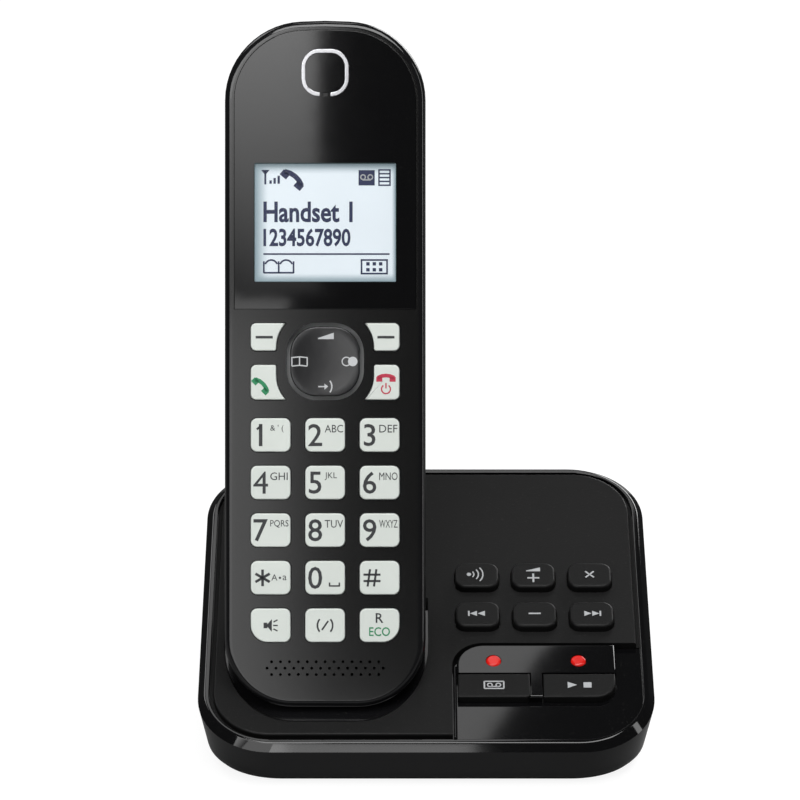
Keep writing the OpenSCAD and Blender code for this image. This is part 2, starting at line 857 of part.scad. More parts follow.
module base_screws() {
    color(metal) upright() for (p = SCREWS) translate([p[0], p[1], boss_top - 3 - head_t - 0.02]) {
        difference() {
            cylinder(d = head_d - 0.3, h = head_t);
            for (a = [0, 90]) rotate(a) cube([2.8, 0.7, 1.6], center = true);
        }
        translate([0, 0, head_t - eps]) cylinder(d = screw_d, h = 5);
    }
}

module cradle_insert() {
    color(matte) {
        difference() {
            intersection() {
                pocket(insert_wall);
                below_top(plate_n - 0.05);
                upright() translate([-far / 2, -far / 2, base_floor + 0.1]) cube(far);
            }
            intersection() {
                pocket(0);
                upright() translate([-far / 2, -far / 2, base_floor + 0.1 + insert_wall])
                    cube(far);
            }
            for (s = [-1, 1]) pin_place(s) translate([0, 0, -10]) cylinder(d = pin_d + 0.3, h = 20);
        }
        // Ribs that the handset's foot stands on
        leaning() for (s = [-1, 1]) translate([s * 7 - 0.6, -pocket_rest - 0.2, -17])
            cube([1.2, pocket_rest + 0.15, 13]);
    }
}

// Places a charge pin's axis: z along the pin, 0 at the pocket's floor
module pin_place(s) {
    leaning() translate([s * pin_x, -pocket_rest, -13.4]) rotate([-90, 0, 0]) children();
}

module charge_pin(s) {
    color(brass) pin_place(s) {
        translate([0, 0, -3]) cylinder(d = pin_d, h = 3 + pocket_rest - 0.1 - pin_d / 2);
        translate([0, 0, pocket_rest - 0.1 - pin_d / 2]) sphere(d = pin_d);
        translate([0, 0, -insert_wall - 0.7]) cylinder(d = pin_d + 1, h = 0.6);
    }
}
module charge_pin_left() { charge_pin(-1); }
module charge_pin_right() { charge_pin(1); }

module line_jack() {
    color("#1a1a1c") upright() translate([line_x, jack_y, jack_z]) difference() {
        translate([-6.5, -14, -6]) cube([13, 12, 12]);
        translate([-4.8, -13, -3.4]) cube([9.6, 20, 6.8]);
    }
}

module power_jack() {
    color("#1a1a1c") upright() translate([power_x, jack_y, jack_z]) {
        difference() {
            translate([-5.5, -14, -5.5]) cube([11, 12, 11]);
            translate([0, -12.5, 0]) rotate([-90, 0, 0]) cylinder(d = 5.6, h = 20);
        }
        translate([0, -13, 0]) rotate([-90, 0, 0]) cylinder(d = 1.65, h = 10.5);
    }
}

handset_front_case();
handset_rear_case();
display_panel();
display_lens();
earpiece_ring();
lcd_module();
handset_circuit_board();
keypad_mat();
earpiece_speaker();
ringer_speaker();
microphone();
batteries();
battery_springs();
battery_door();
handset_charge_plates();
handset_screws();
navigator_key();
navigator_pivot();
for (k = PAD) pad_key(k);
for (k = AROUND) around_key(k);
base_upper_case();
base_trim();
base_lower_case();
cradle_insert();
control_panel();
answer_key();
play_key();
for (k = BASE_PAD) small_key(k);
indicator_lights();
base_keypad_mat();
base_circuit_board();
base_speaker();
charge_pin_left();
charge_pin_right();
line_jack();
power_jack();
rubber_feet();
base_screws();
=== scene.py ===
# %% [markdown]
# # A cordless phone in its base
# The CAD model gives every part its true size, place and motion. This lesson adds the looks
# around it: soft edges, printed keys, a lit display, gloss and matte plastic, and studio light.
# First the imported model is loaded as a fixed frame.

# %% Load the frame
import json
import math

import bmesh
import bpy
from mathutils import Matrix, Vector


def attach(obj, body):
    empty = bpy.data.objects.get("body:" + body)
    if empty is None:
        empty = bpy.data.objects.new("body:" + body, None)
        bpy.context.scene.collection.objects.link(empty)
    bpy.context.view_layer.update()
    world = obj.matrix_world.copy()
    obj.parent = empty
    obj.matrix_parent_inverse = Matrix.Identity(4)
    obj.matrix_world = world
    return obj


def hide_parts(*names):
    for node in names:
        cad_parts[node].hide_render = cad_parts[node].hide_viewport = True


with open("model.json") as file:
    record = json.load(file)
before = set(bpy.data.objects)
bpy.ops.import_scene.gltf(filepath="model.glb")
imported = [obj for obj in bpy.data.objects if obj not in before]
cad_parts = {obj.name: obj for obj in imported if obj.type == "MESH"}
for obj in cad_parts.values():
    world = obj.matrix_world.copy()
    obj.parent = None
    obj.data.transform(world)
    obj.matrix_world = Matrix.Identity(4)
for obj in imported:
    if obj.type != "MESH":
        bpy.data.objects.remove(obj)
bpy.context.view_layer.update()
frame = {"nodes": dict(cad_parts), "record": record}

# %% [markdown]
# ## Three ways to place a piece
# The phone leans back in its base, and the base's top slopes. It is far easier to model a key
# or a case lying flat, in millimetres, and to put the finished piece in place with one matrix.
# The handset's matrix has x to the right, y up the handset from its foot, and z out of its
# face. The top's matrix has x to the right, y up the slope and z square to it.

# %% Place matrices
MM = 0.001
SHRINK = Matrix.Diagonal((MM, MM, MM, 1))
LEAN = math.radians(24)
SLOPE = math.radians(18.5)
BASE_W, BASE_L, RIM_Z, MID_Y = 108.0, 95.6, 10.2, 48.9069
DEPTH = BASE_L * math.cos(SLOPE)
FOOT = Vector((-23.8, -38.0918, 16.1386)) * MM
ON_HANDSET = Matrix.Translation(FOOT) @ Matrix.Rotation(math.pi / 2 - LEAN, 4, "X") @ SHRINK
TIPPED = Matrix.Rotation(SLOPE, 4, "X")
ON_TOP = Matrix.Translation(Vector((0, -MID_Y, RIM_Z)) * MM) @ TIPPED @ SHRINK
ON_TABLE = Matrix.Translation(Vector((0, -MID_Y, 0)) * MM) @ SHRINK
print("handset foot at", [round(c, 4) for c in FOOT])

# %% [markdown]
# ## Modelling by hand, in code
# Every new piece starts as a primitive. Edges and faces are then selected by their place or
# direction, and the same bevel, inset and extrude operators as in the edit menu shape them.
# `settled` gives the piece its place in its own mesh, so that the object stays at the origin.

# %% Selection and edit helpers
def only(piece):
    """Selects one object and nothing else."""
    bpy.ops.object.select_all(action="DESELECT")
    piece.select_set(True)
    bpy.context.view_layer.objects.active = piece
    return piece


def pick(piece, kind, wanted):
    """Enters edit mode and selects the vertices, edges or faces that are wanted."""
    only(piece)
    bpy.ops.object.mode_set(mode="EDIT")
    bpy.ops.mesh.select_mode(type={"verts": "VERT", "edges": "EDGE", "faces": "FACE"}[kind])
    bpy.ops.mesh.select_all(action="DESELECT")
    mesh = bmesh.from_edit_mesh(piece.data)
    for element in getattr(mesh, kind):
        if wanted(element):
            element.select_set(True)
    mesh.select_flush_mode()
    bmesh.update_edit_mesh(piece.data)


def done():
    bpy.ops.object.mode_set(mode="OBJECT")


def middle(element):
    """The middle of an edge or a face."""
    return sum((v.co for v in element.verts), Vector()) / len(element.verts)


def block(name, width, length, low, high, at=(0, 0)):
    """A box between two heights, with its scale in its mesh."""
    bpy.ops.object.select_all(action="DESELECT")
    bpy.ops.mesh.primitive_cube_add(size=1, location=(at[0], at[1], (low + high) / 2))
    piece = bpy.context.active_object
    piece.name = piece.data.name = name
    piece.scale = (width, length, high - low)
    bpy.ops.object.transform_apply(location=True, rotation=True, scale=True)
    return piece


def round_edges(piece, wanted, radius, steps=4):
    """Bevels the wanted edges into a round."""
    pick(piece, "edges", wanted)
    bpy.ops.mesh.bevel(offset=radius, segments=steps, affect="EDGES", clamp_overlap=False)
    done()
    return piece


def upright(edge):
    a, b = (v.co for v in edge.verts)
    return abs(a.z - b.z) > 0.2 and (a.xy - b.xy).length < 0.001


def level(height):
    """True for edges that lie at one height."""
    return lambda edge: all(abs(v.co.z - height) < 0.001 for v in edge.verts)


def rounded_block(name, width, length, low, high, corner, at=(0, 0), steps=8):
    """A box with rounded upright edges."""
    return round_edges(block(name, width, length, low, high, at), upright, corner, steps)


def applied(piece, kind, **settings):
    """Adds a modifier, sets it and applies it."""
    only(piece)
    modifier = piece.modifiers.new(kind.title(), kind)
    for key, value in settings.items():
        setattr(modifier, key, value)
    bpy.ops.object.modifier_apply(modifier=modifier.name)
    return piece


def joined(pieces, name):
    """Joins several objects into the first."""
    only(pieces[0])
    for piece in pieces:
        piece.select_set(True)
    if len(pieces) > 1:
        bpy.ops.object.join()
    pieces[0].name = pieces[0].data.name = name
    return pieces[0]


def cut(piece, cutters, operation="DIFFERENCE"):
    """Cuts the joined cutters out of a piece."""
    tool = joined(cutters, piece.name + "_cutter")
    applied(piece, "BOOLEAN", operation=operation, solver="EXACT", object=tool)
    bpy.data.objects.remove(tool)
    return piece


def sliced(piece, point, normal, **sides):
    """Bisects a piece by a plane. Its sides say what is cleared and if the cut is filled."""
    pick(piece, "faces", lambda face: True)
    bpy.ops.mesh.bisect(plane_co=point, plane_no=normal, **sides)
    done()
    return piece


def copied(name, mesh, x=0, y=0):
    """A new object with its own copy of a mesh, moved in that mesh."""
    piece = bpy.data.objects.new(name, mesh.copy())
    bpy.context.scene.collection.objects.link(piece)
    piece.data.transform(Matrix.Translation((x, y, 0)))
    return piece


def settled(piece, place, smooth=35):
    """Puts a finished flat piece in its place, in its own mesh, and smooths it."""
    only(piece)
    piece.data.transform(place)
    if smooth:
        bpy.ops.object.shade_smooth_by_angle(angle=math.radians(smooth))
        applied(piece, "WEIGHTED_NORMAL", keep_sharp=True, weight=100)
    return piece


# %% [markdown]
# ## Shader groups
# Moulded plastic is never one flat colour: it has a fine grain, and where hands touch it the
# gloss breaks up a little. Two groups hold these effects, and each material gives its own
# values. A third lays a thin film of dust on faces that look up.

# %% Node helpers
FLOAT = "NodeSocketFloat"


def feed(tree, value, socket):
    """Links a socket to another one, or sets it to a number or a colour."""
    if isinstance(value, bpy.types.NodeSocket):
        tree.links.new(value, socket)
    else:
        socket.default_value = value


def fed(tree, kind, **values):
    """A new node with its inputs fed. An underscore in a name stands for a space."""
    node = tree.nodes.new("ShaderNode" + kind)
    for label, value in values.items():
        feed(tree, value, node.inputs[label.replace("_", " ")])
    return node


def math_node(tree, operation, a, b):
    """A math node: a and b are sockets or numbers."""
    node = tree.nodes.new("ShaderNodeMath")
    node.operation = operation
    for socket, value in zip(node.inputs, (a, b)):
        feed(tree, value, socket)
    return node.outputs[0]


def ramped(tree, value, start, end):
    """A smooth step from 0 at start to 1 at end."""
    node = fed(tree, "MapRange", Value=value, From_Min=start, From_Max=end)
    node.interpolation_type = "SMOOTHSTEP"
    return node.outputs["Result"]


def mixed(tree, factor, a, b):
    """A colour that runs from a to b."""
    node = tree.nodes.new("ShaderNodeMix")
    node.data_type = "RGBA"
    for label, value in (("Factor", factor), ("A", a), ("B", b)):
        feed(tree, value, node.inputs[label])
    return node.outputs["Result"]


def noise_on(tree, scale, detail=2, distortion=0, stretch=None, place=None):
    """Noise on the piece's own coordinates, or on those that are given."""
    place = place or tree.nodes.new("ShaderNodeTexCoord").outputs["Object"]
    if stretch:
        place = fed(tree, "Mapping", Vector=place, Scale=stretch).outputs["Vector"]
    noise = fed(tree, "TexNoise", Vector=place, Scale=scale, Detail=detail, Distortion=distortion)
    return noise.outputs["Fac"]


def group(name, inputs, outputs):
    """A shader node group with named number sockets, and its input and output nodes."""
    tree = bpy.data.node_groups.new(name, "ShaderNodeTree")
    for label, value in inputs.items():
        socket = tree.interface.new_socket(name=label, in_out="INPUT", socket_type=FLOAT)
        socket.default_value = value
    for label in outputs:
        tree.interface.new_socket(name=label, in_out="OUTPUT", socket_type=FLOAT)
    return tree, tree.nodes.new("NodeGroupInput"), tree.nodes.new("NodeGroupOutput")


# %% Moulded grain
def moulded_grain():
    """Fine grain as a height and a small change of roughness."""
    tree, enter, leave = group(
        "Moulded Grain", {"Grain Size": 0.0004, "Roughness": 0.4, "Roughness Spread": 0.05},
        ["Height", "Roughness"])
    grain = noise_on(tree, math_node(tree, "DIVIDE", 1.0, enter.outputs["Grain Size"]), 3)
    centred = math_node(tree, "SUBTRACT", grain, 0.5)
    spread = math_node(tree, "MULTIPLY", centred, enter.outputs["Roughness Spread"])
    feed(tree, grain, leave.inputs["Height"])
    rough = math_node(tree, "ADD", enter.outputs["Roughness"], spread)
    feed(tree, rough, leave.inputs["Roughness"])
    return tree


GRAIN = moulded_grain()
print("group:", GRAIN.name)

# %% Handling marks and dust
MARK_START, MARK_END, SPECK_LEAST = 0.48, 0.72, 0.68


def handling_marks():
    """Soft smudges where fingers touch: a mask from 0, clean, to 1, smudged."""
    tree, enter, leave = group("Handling Marks", {"Mark Size": 0.02, "Amount": 0.5}, ["Mask"])
    smudge = noise_on(tree, math_node(tree, "DIVIDE", 1.0, enter.outputs["Mark Size"]), 5, 0.4)
    smudge = ramped(tree, smudge, MARK_START, MARK_END)
    feed(tree, math_node(tree, "MULTIPLY", smudge, enter.outputs["Amount"]), leave.inputs["Mask"])
    return tree


def fine_dust():
    """Specks on faces that look up: a mask from 0 to 1."""
    tree, enter, leave = group("Fine Dust", {"Speck Size": 0.0006, "Amount": 0.1}, ["Mask"])
    facing = tree.nodes.new("ShaderNodeNewGeometry").outputs["Normal"]
    upward = math_node(tree, "MAXIMUM", fed(tree, "SeparateXYZ", Vector=facing).outputs["Z"], 0.0)
    noise = noise_on(tree, math_node(tree, "DIVIDE", 1.0, enter.outputs["Speck Size"]))
    speck = math_node(tree, "GREATER_THAN", noise, SPECK_LEAST)
    seen = math_node(tree, "MULTIPLY", speck, upward)
    feed(tree, math_node(tree, "MULTIPLY", seen, enter.outputs["Amount"]), leave.inputs["Mask"])
    return tree


MARKS, DUST = handling_marks(), fine_dust()
print("groups:", MARKS.name, DUST.name)

# %% [markdown]
# ## Plastic finishes
# One recipe makes every plastic of the phone. The colour shifts slightly where it is handled,
# the roughness follows the grain and the marks, and a bump node turns the grain into a real
# texture of a given depth. Values that are the same all over are set on the shader itself.

# %% The plastic recipe
SMUDGE_DULLS, GRAIN_RELIEF, DUST_COLOUR = 0.22, 0.12, (0.35, 0.34, 0.32, 1)


def finish(name, **values):
    """A new node material with values on its shader, its tree and its shader."""
    material = bpy.data.materials.new(name)
    material.use_nodes = True
    shader = material.node_tree.nodes["Principled BSDF"]
    for label, value in values.items():
        shader.inputs[label.replace("_", " ")].default_value = value
    return material, material.node_tree, shader


def placed(tree, shared, **values):
    """A shared group, placed in a material with its own values."""
    node = tree.nodes.new("ShaderNodeGroup")
    node.node_tree = shared
    for label, value in values.items():
        node.inputs[label.replace("_", " ")].default_value = value
    return node


def brighter(colour, times, plus):
    return *(min(1, c * times + plus) for c in colour), 1


def plastic(name, colour, rough, grain, depth, marks, dust, spread=0.06, specular=0.5):
    """A moulded plastic. Grain is the size of its texture in metres, depth its strength."""
    material, tree, shader = finish(name, IOR=1.5, Specular_IOR_Level=specular)
    texture = placed(tree, GRAIN, Grain_Size=grain, Roughness=rough, Roughness_Spread=spread)
    smudge = placed(tree, MARKS, Amount=marks).outputs["Mask"]
    film = placed(tree, DUST, Amount=dust).outputs["Mask"]
    bump = fed(tree, "Bump", Strength=min(1.0, depth * 10), Distance=grain * GRAIN_RELIEF,
               Height=texture.outputs["Height"])
    feed(tree, bump.outputs["Normal"], shader.inputs["Normal"])
    duller = math_node(tree, "MULTIPLY", smudge, SMUDGE_DULLS)
    rough = math_node(tree, "ADD", texture.outputs["Roughness"], duller)
    feed(tree, rough, shader.inputs["Roughness"])
    handled = mixed(tree, smudge, (*colour, 1), brighter(colour, 1.25, 0.004))
    feed(tree, mixed(tree, film, handled, DUST_COLOUR), shader.inputs["Base Color"])
    return material


# %% The plastics
GLOSS_BLACK = plastic("gloss_black", (0.0022, 0.0022, 0.0025), 0.05, 0.004, 0.0002, 0.03, 0.02,
                      0.02)
GLOSS_CASE = plastic("gloss_case", (0.005, 0.005, 0.0055), 0.10, 0.003, 0.001, 0.05, 0.03, 0.03)
SATIN_BLACK = plastic("satin_black", (0.0035, 0.0035, 0.0034), 0.125, 0.0004, 0.0012, 0.03, 0.01,
                      0.02)
MATTE_BLACK = plastic("matte_black", (0.0042, 0.0042, 0.0042), 0.48, 0.0006, 0.04, 0.08, 0.02,
                      specular=0.2)
GLOSS_KEY = plastic("gloss_key", (0.014, 0.014, 0.015), 0.22, 0.002, 0.01, 0.15, 0.01, 0.04)
KEY_WHITE = plastic("key_white", (0.64, 0.68, 0.64), 0.34, 0.0005, 0.015, 0.20, 0.0, 0.05)
RUBBER_GREY = plastic("rubber_grey", (0.45, 0.46, 0.46), 0.75, 0.0008, 0.05, 0.1, 0.0)
RUBBER_BLACK = plastic("rubber_black", (0.018, 0.018, 0.018), 0.80, 0.0008, 0.06, 0.1, 0.05)
JACK_BLACK = plastic("jack_black", (0.012, 0.012, 0.013), 0.35, 0.0007, 0.03, 0.0, 0.02)
SLEEVE = plastic("battery_sleeve", (0.05, 0.22, 0.09), 0.25, 0.002, 0.01, 0.2, 0.0)
print("plastics:", len(bpy.data.materials))

# %% [markdown]
# ## Metals, board, glass and light
# The metals share a brushed or rolled look: noise that is stretched along one axis changes the
# roughness. The board has its green mask with darker tracks. The lights glow through red
# plastic, and the window over the display is nearly clear.

# %% Metal recipe
STREAKS, STREAK_SPREAD = 900, 0.14


def metal(name, colour, rough, stretch=(1, 1, 12)):
    """A metal whose roughness follows stretched noise."""
    material, tree, shader = finish(name, Metallic=1)
    streaks = noise_on(tree, STREAKS, stretch=stretch)
    spread = math_node(tree, "MULTIPLY", streaks, STREAK_SPREAD)
    rough = math_node(tree, "ADD", spread, rough - STREAK_SPREAD / 2)
    feed(tree, rough, shader.inputs["Roughness"])
    tint = mixed(tree, streaks, (*(c * 0.9 for c in colour), 1), (*colour, 1))
    feed(tree, tint, shader.inputs["Base Color"])
    return material


SILVER = metal("silver", (0.52, 0.52, 0.54), 0.24)
STEEL = metal("contact_steel", (0.62, 0.62, 0.62), 0.28, (12, 1, 1))
BRASS = metal("contact_brass", (0.83, 0.62, 0.28), 0.22)
SPEAKER = metal("speaker_metal", (0.42, 0.42, 0.43), 0.45, (1, 1, 1))
print("metals:", SILVER.name, STEEL.name, BRASS.name, SPEAKER.name)

# %% Board, light and window
BOARD_CELLS, LAMP_GRAIN, WINDOW_HAZE = 260, 500, 60


def circuit_board():
    """Green solder mask over tracks, which a brick pattern draws."""
    material, tree, shader = finish("circuit_board", Roughness=0.3)
    tracks = fed(tree, "TexBrick", Scale=BOARD_CELLS, Color1=(0.012, 0.10, 0.035, 1),
                 Color2=(0.016, 0.13, 0.045, 1), Mortar=(0.03, 0.20, 0.07, 1),
                 Vector=tree.nodes.new("ShaderNodeTexCoord").outputs["Object"])
    feed(tree, tracks.outputs["Color"], shader.inputs["Base Color"])
    return material


def indicator_red():
    """Red plastic, lit from behind and uneven in its grain."""
    material, tree, shader = finish("indicator_red", Emission_Strength=0.28, Roughness=0.18)
    glow = mixed(tree, noise_on(tree, LAMP_GRAIN), (0.42, 0.006, 0.004, 1), (0.62, 0.012, 0.008, 1))
    for label in ("Base Color", "Emission Color"):
        feed(tree, glow, shader.inputs[label])
    return material


def clear_window():
    """A nearly clear window that keeps a little of its own gloss."""
    material, tree, shader = finish("clear_window", Base_Color=(0.03, 0.035, 0.04, 1))
    haze = noise_on(tree, WINDOW_HAZE)
    for label, spread, least in (("Roughness", 0.03, 0.03), ("Alpha", 0.02, 0.05)):
        value = math_node(tree, "ADD", math_node(tree, "MULTIPLY", haze, spread), least)
        feed(tree, value, shader.inputs[label])
    return material


BOARD, RED_LIGHT, WINDOW = circuit_board(), indicator_red(), clear_window()
print("materials so far:", len(bpy.data.materials))

# %% [markdown]
# ## Printing inks
# The legends on the keys and the marks on the display are thin films of ink. Ink is never
# quite even, so a little noise thins its colour.

# %% Ink recipe
INK_GRAIN = 1500


def ink(name, colour, rough=0.45):
    """A thin printed film with slightly uneven colour."""
    material, tree, shader = finish(name, Roughness=rough)
    shade = mixed(tree, noise_on(tree, INK_GRAIN), (*colour, 1), brighter(colour, 1.15, 0.003))
    feed(tree, shade, shader.inputs["Base Color"])
    return material


DARK_INK = ink("dark_ink", (0.018, 0.019, 0.022))
GREEN_INK = ink("green_ink", (0.005, 0.20, 0.075))
RED_INK = ink("red_ink", (0.44, 0.015, 0.05))
WHITE_INK = ink("white_ink", (0.48, 0.49, 0.50), 0.4)
PALE_INK = ink("pale_ink", (0.38, 0.39, 0.40), 0.5)
NAVY_INK = ink("display_ink", (0.012, 0.020, 0.075), 0.5)
print("inks:", [m.name for m in bpy.data.materials if m.name.endswith("_ink")])

# %% [markdown]
# ## Camera, floor and light
# A long lens from a little above gives the calm view of a product picture. The floor and the
# world are pale. The phone is mostly black, so what it mirrors matters more than what falls on
# it. Two soft cards stand left of the camera, one over the other, and end just before it, so the
# gloss shows a clean border between light and dark. The upper card fades downwards over its own
# height, and so does its mirror image. Small cards light the trim's front facet and the control
# corner, and large ones hang overhead and behind.

# %% Camera
scene = bpy.context.scene
scene.view_settings.view_transform = "Standard"
bpy.ops.object.camera_add(location=(-0.0062, -0.8341, 0.4491),
                          rotation=(math.radians(66.037), 0, 0))
camera = bpy.context.active_object
camera.name = "camera"
camera.data.lens = 172.9
camera.data.sensor_width = 36
scene.camera = camera
print("camera at", [round(c, 3) for c in camera.location])

# %% World and floor
world = bpy.data.worlds.new("pale_studio")
scene.world = world
world.use_nodes = True
sky = world.node_tree
background = sky.nodes["Background"]
background.inputs["Color"].default_value = (0.98, 0.99, 1.0, 1)
seen = sky.nodes.new("ShaderNodeMix")
seen.data_type = "FLOAT"
for label, value in (("Factor", sky.nodes.new("ShaderNodeLightPath").outputs["Is Camera Ray"]),
                     ("A", 0.06), ("B", 0.95)):
    feed(sky, value, seen.inputs[label])
feed(sky, seen.outputs["Result"], background.inputs["Strength"])

bpy.ops.object.select_all(action="DESELECT")
bpy.ops.mesh.primitive_plane_add(size=6, location=(0, 0.6, 0))
floor = bpy.context.active_object
floor.name = "floor"
FLOOR, FLOOR_GLOW = ink("floor_paper", (0.15, 0.15, 0.15), 0.65), 0.88
paper = FLOOR.node_tree
paper_shader = paper.nodes["Principled BSDF"]
paper_shader.inputs["Emission Color"].default_value = (1, 1, 1, 1)
straight = paper.nodes.new("ShaderNodeLightPath").outputs["Is Camera Ray"]
feed(paper, math_node(paper, "MULTIPLY", straight, FLOOR_GLOW),
     paper_shader.inputs["Emission Strength"])
floor.data.materials.append(FLOOR)
print("floor size", [round(c, 2) for c in floor.dimensions])

# %% The cards beside the camera
def soft_light(name, place, towards, width, height, watts, turn=0):
    """A rectangular soft light that faces a point, turned by degrees in its own plane."""
    bpy.ops.object.light_add(type="AREA", location=place)
    light = bpy.context.active_object
    light.name = name
    light.data.shape = "RECTANGLE"
    light.data.size, light.data.size_y = width, height
    light.data.energy = watts
    facing = (Vector(towards) - Vector(place)).to_track_quat("-Z", "Y").to_matrix().to_4x4()
    turned = Matrix.Rotation(math.radians(turn), 4, "Z")
    light.matrix_world = Matrix.Translation(place) @ facing @ turned
    return light


VIEW = Vector((0, math.cos(LEAN), -math.sin(LEAN)))
UP = Vector((0, math.sin(LEAN), math.cos(LEAN)))
LENS_SPOT, CARD_W = Vector((0, -0.8341, 0.4491)), 0.80
cards = []
for name, edge, low, high, watts in (("upper_card", -0.045, 0.05, 0.42, 4.3),
                                     ("lower_card", -0.061, -0.28, 0.046, 1.85)):
    spot = LENS_SPOT + Vector((edge - CARD_W / 2, 0, 0)) + UP * (low + high) / 2
    cards.append(soft_light(name, spot, spot + VIEW, CARD_W, high - low, watts).data)
cards[0].use_nodes = True
fade = cards[0].node_tree
across = fade.nodes.new("ShaderNodeNewGeometry").outputs["Parametric"]
height = fed(fade, "SeparateXYZ", Vector=across).outputs["Y"]
ramp = fed(fade, "MapRange", Value=height, From_Min=0.0, From_Max=0.40, To_Min=0.09, To_Max=1.0)
feed(fade, ramp.outputs["Result"], fade.nodes["Emission"].inputs["Strength"])
print("cards:", len(cards))

# %% The other lights
for light in (("facet_card", (-0.022, -0.834, 0.248), (0, -0.05, 0.012), 0.10, 0.05, 0.045),
              ("overhead", (0.10, -0.35, 1.15), (0, 0, 0.05), 0.9, 0.6, 11.0),
              ("corner_card", (-0.012, 0.357, 0.726), (-0.012, -0.069, -0.179), 0.16, 0.22, 0.20,
               -33),
              ("back_left", (-0.75, 0.65, 1.05), (0, 0, 0.05), 0.6, 0.5, 3.0),
              ("back_low", (0.55, 0.95, 0.45), (0, 0, 0.08), 0.7, 0.5, 7.0),
              ("right_strip", (0.75, -0.15, 0.35), (0, 0, 0.08), 0.10, 0.7, 0.8)):
    print("light:", soft_light(*light).name)

# %% [markdown]
# ## The handset's outline
# Both shells, the gloss panel and the cradle's pocket share one outline: a long block with
# rounder corners at the top than at the foot, whose top edge rises a little in the middle. A
# box is bisected down its middle, the ridge is raised, and the four upright edges are bevelled.

# %% Handset block
HANDSET_W, HANDSET_L, CROWN, TOP_R, FOOT_R = 47.3, 161.7, 0.8, 18, 16


def handset_block(name, inset, low, high, foot=0):
    """The handset's outline as a block, drawn in by an inset, with extra length at its foot."""
    bottom, shoulder = inset - foot, HANDSET_L - inset - CROWN
    width, half = HANDSET_W - 2 * inset, HANDSET_W / 2 - inset
    piece = block(name, width, shoulder - bottom, low, high, (0, (shoulder + bottom) / 2))
    sliced(piece, (0, 0, 0), (1, 0, 0))
    pick(piece, "verts", lambda v: abs(v.co.x) < 0.01 and v.co.y > shoulder - 0.01)
    bpy.ops.transform.translate(value=(0, CROWN, 0))
    done()
    side = lambda e, s: upright(e) and abs(middle(e).x - s * half) < 0.01
    for s in (-1, 1):
        for foot_end, radius in ((True, FOOT_R - inset), (False, TOP_R - inset)):
            round_edges(piece, lambda e: side(e, s) and (middle(e).y < HANDSET_L / 2) == foot_end,
                        radius, 14)
    for flat in (lambda face: abs(face.normal.z) > 0.9, lambda face: face.normal.y < -0.999):
        pick(piece, "faces", flat)
        bpy.ops.mesh.dissolve_faces(use_verts=True)
        done()
    return piece


def dressed(piece, name, body, material, nodes=()):
    """Names a settled piece, gives it its finish, and lets it ride on its body."""
    piece.name = piece.data.name = name
    if material:
        piece.data.materials.clear()
        piece.data.materials.append(material)
    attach(piece, body)
    if nodes:
        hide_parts(*nodes)
    print(f"{name}: {len(piece.data.polygons)} faces on {body}")
    return piece


# %% [markdown]
# ## Key outlines
# The same outlines make the keys and, grown by a gap, the openings that they stand in. Number
# keys sit in a grid. The four keys round the navigator are hollowed to follow its ring, which
# a rounded square cutter does.

# %% Number key and ring key blocks
KEY_W, KEY_H, PITCH_X, PITCH_Y, ROW_Y = 9.35, 7.9, 12.8, 11.18, 19.4
PROUD, NAV_Y, NAV_W, KEY_GAP, NAV_GAP = 0.9, 81.4, 16.4, 0.2, 0.9
PAD = [("key_speaker", -1, 0), ("key_intercom", 0, 0), ("key_flash", 1, 0),
       ("key_star", -1, 1), ("key_0", 0, 1), ("key_hash", 1, 1),
       ("key_7", -1, 2), ("key_8", 0, 2), ("key_9", 1, 2),
       ("key_4", -1, 3), ("key_5", 0, 3), ("key_6", 1, 3),
       ("key_1", -1, 4), ("key_2", 0, 4), ("key_3", 1, 4)]
AROUND = [("soft_key_left", -1, 1), ("soft_key_right", 1, 1),
          ("talk_key", -1, -1), ("off_key", 1, -1)]


def one_corner(piece, x, y, radius, steps=10):
    """Rounds the upright edge that stands at one point."""
    at_point = lambda e: upright(e) and (middle(e).xy - Vector((x, y))).length < 0.02
    return round_edges(piece, at_point, radius, steps)


def pad_place(column, row):
    return column * PITCH_X, ROW_Y + row * PITCH_Y


def pad_block(name, column, row, low, high, grow=0.0):
    """A number key's block. The two at the keypad's lower corners have one big corner."""
    x, y = pad_place(column, row)
    width, length = KEY_W + 2 * grow, KEY_H + 2 * grow
    piece = block(name, width, length, low, high, (x, y))
    big = lambda e: row == 0 and (middle(e).x - x) * column > 0 and middle(e).y < y
    round_edges(piece, lambda e: upright(e) and not big(e), 1.5 + grow, 6)
    if row == 0 and column:
        one_corner(piece, x + column * width / 2, y - length / 2, 4 + grow)
    return piece


def around_block(name, side, part, low, high, grow=0.0):
    """A key beside the navigator, hollowed by the navigator's ring."""
    tall, start = (6.5, 2.5) if part > 0 else (8.2, -9)
    at = (side * (PITCH_X + KEY_W / 2 - 4.5), NAV_Y + start + tall / 2)
    piece = rounded_block(name, 9 + 2 * grow, tall + 2 * grow, low, high, 1.3 + grow, at, 6)
    ring = 23 - 2 * grow
    hollow = rounded_block("hollow", ring, ring, low - 1, high + 1, ring / 2 - 3.4, (0, NAV_Y), 12)
    cut(piece, [hollow])
    return round_edges(piece, lambda e: upright(e) and e.calc_face_angle(0) > 0.5, 0.5, 4)


def nav_block(name, low, high, grow=0.0):
    size = NAV_W + 2 * grow
    return rounded_block(name, size, size, low, high, 6.2 + grow, (0, NAV_Y), 14)


def peg(name, x, y, radius, low, high, sides=16):
    """An upright cylinder."""
    bpy.ops.object.select_all(action="DESELECT")
    bpy.ops.mesh.primitive_cylinder_add(vertices=sides, radius=radius, depth=high - low,
                                        location=(x, y, (low + high) / 2))
    piece = bpy.context.active_object
    piece.name = piece.data.name = name
    bpy.ops.object.transform_apply(location=True, rotation=True, scale=True)
    return piece


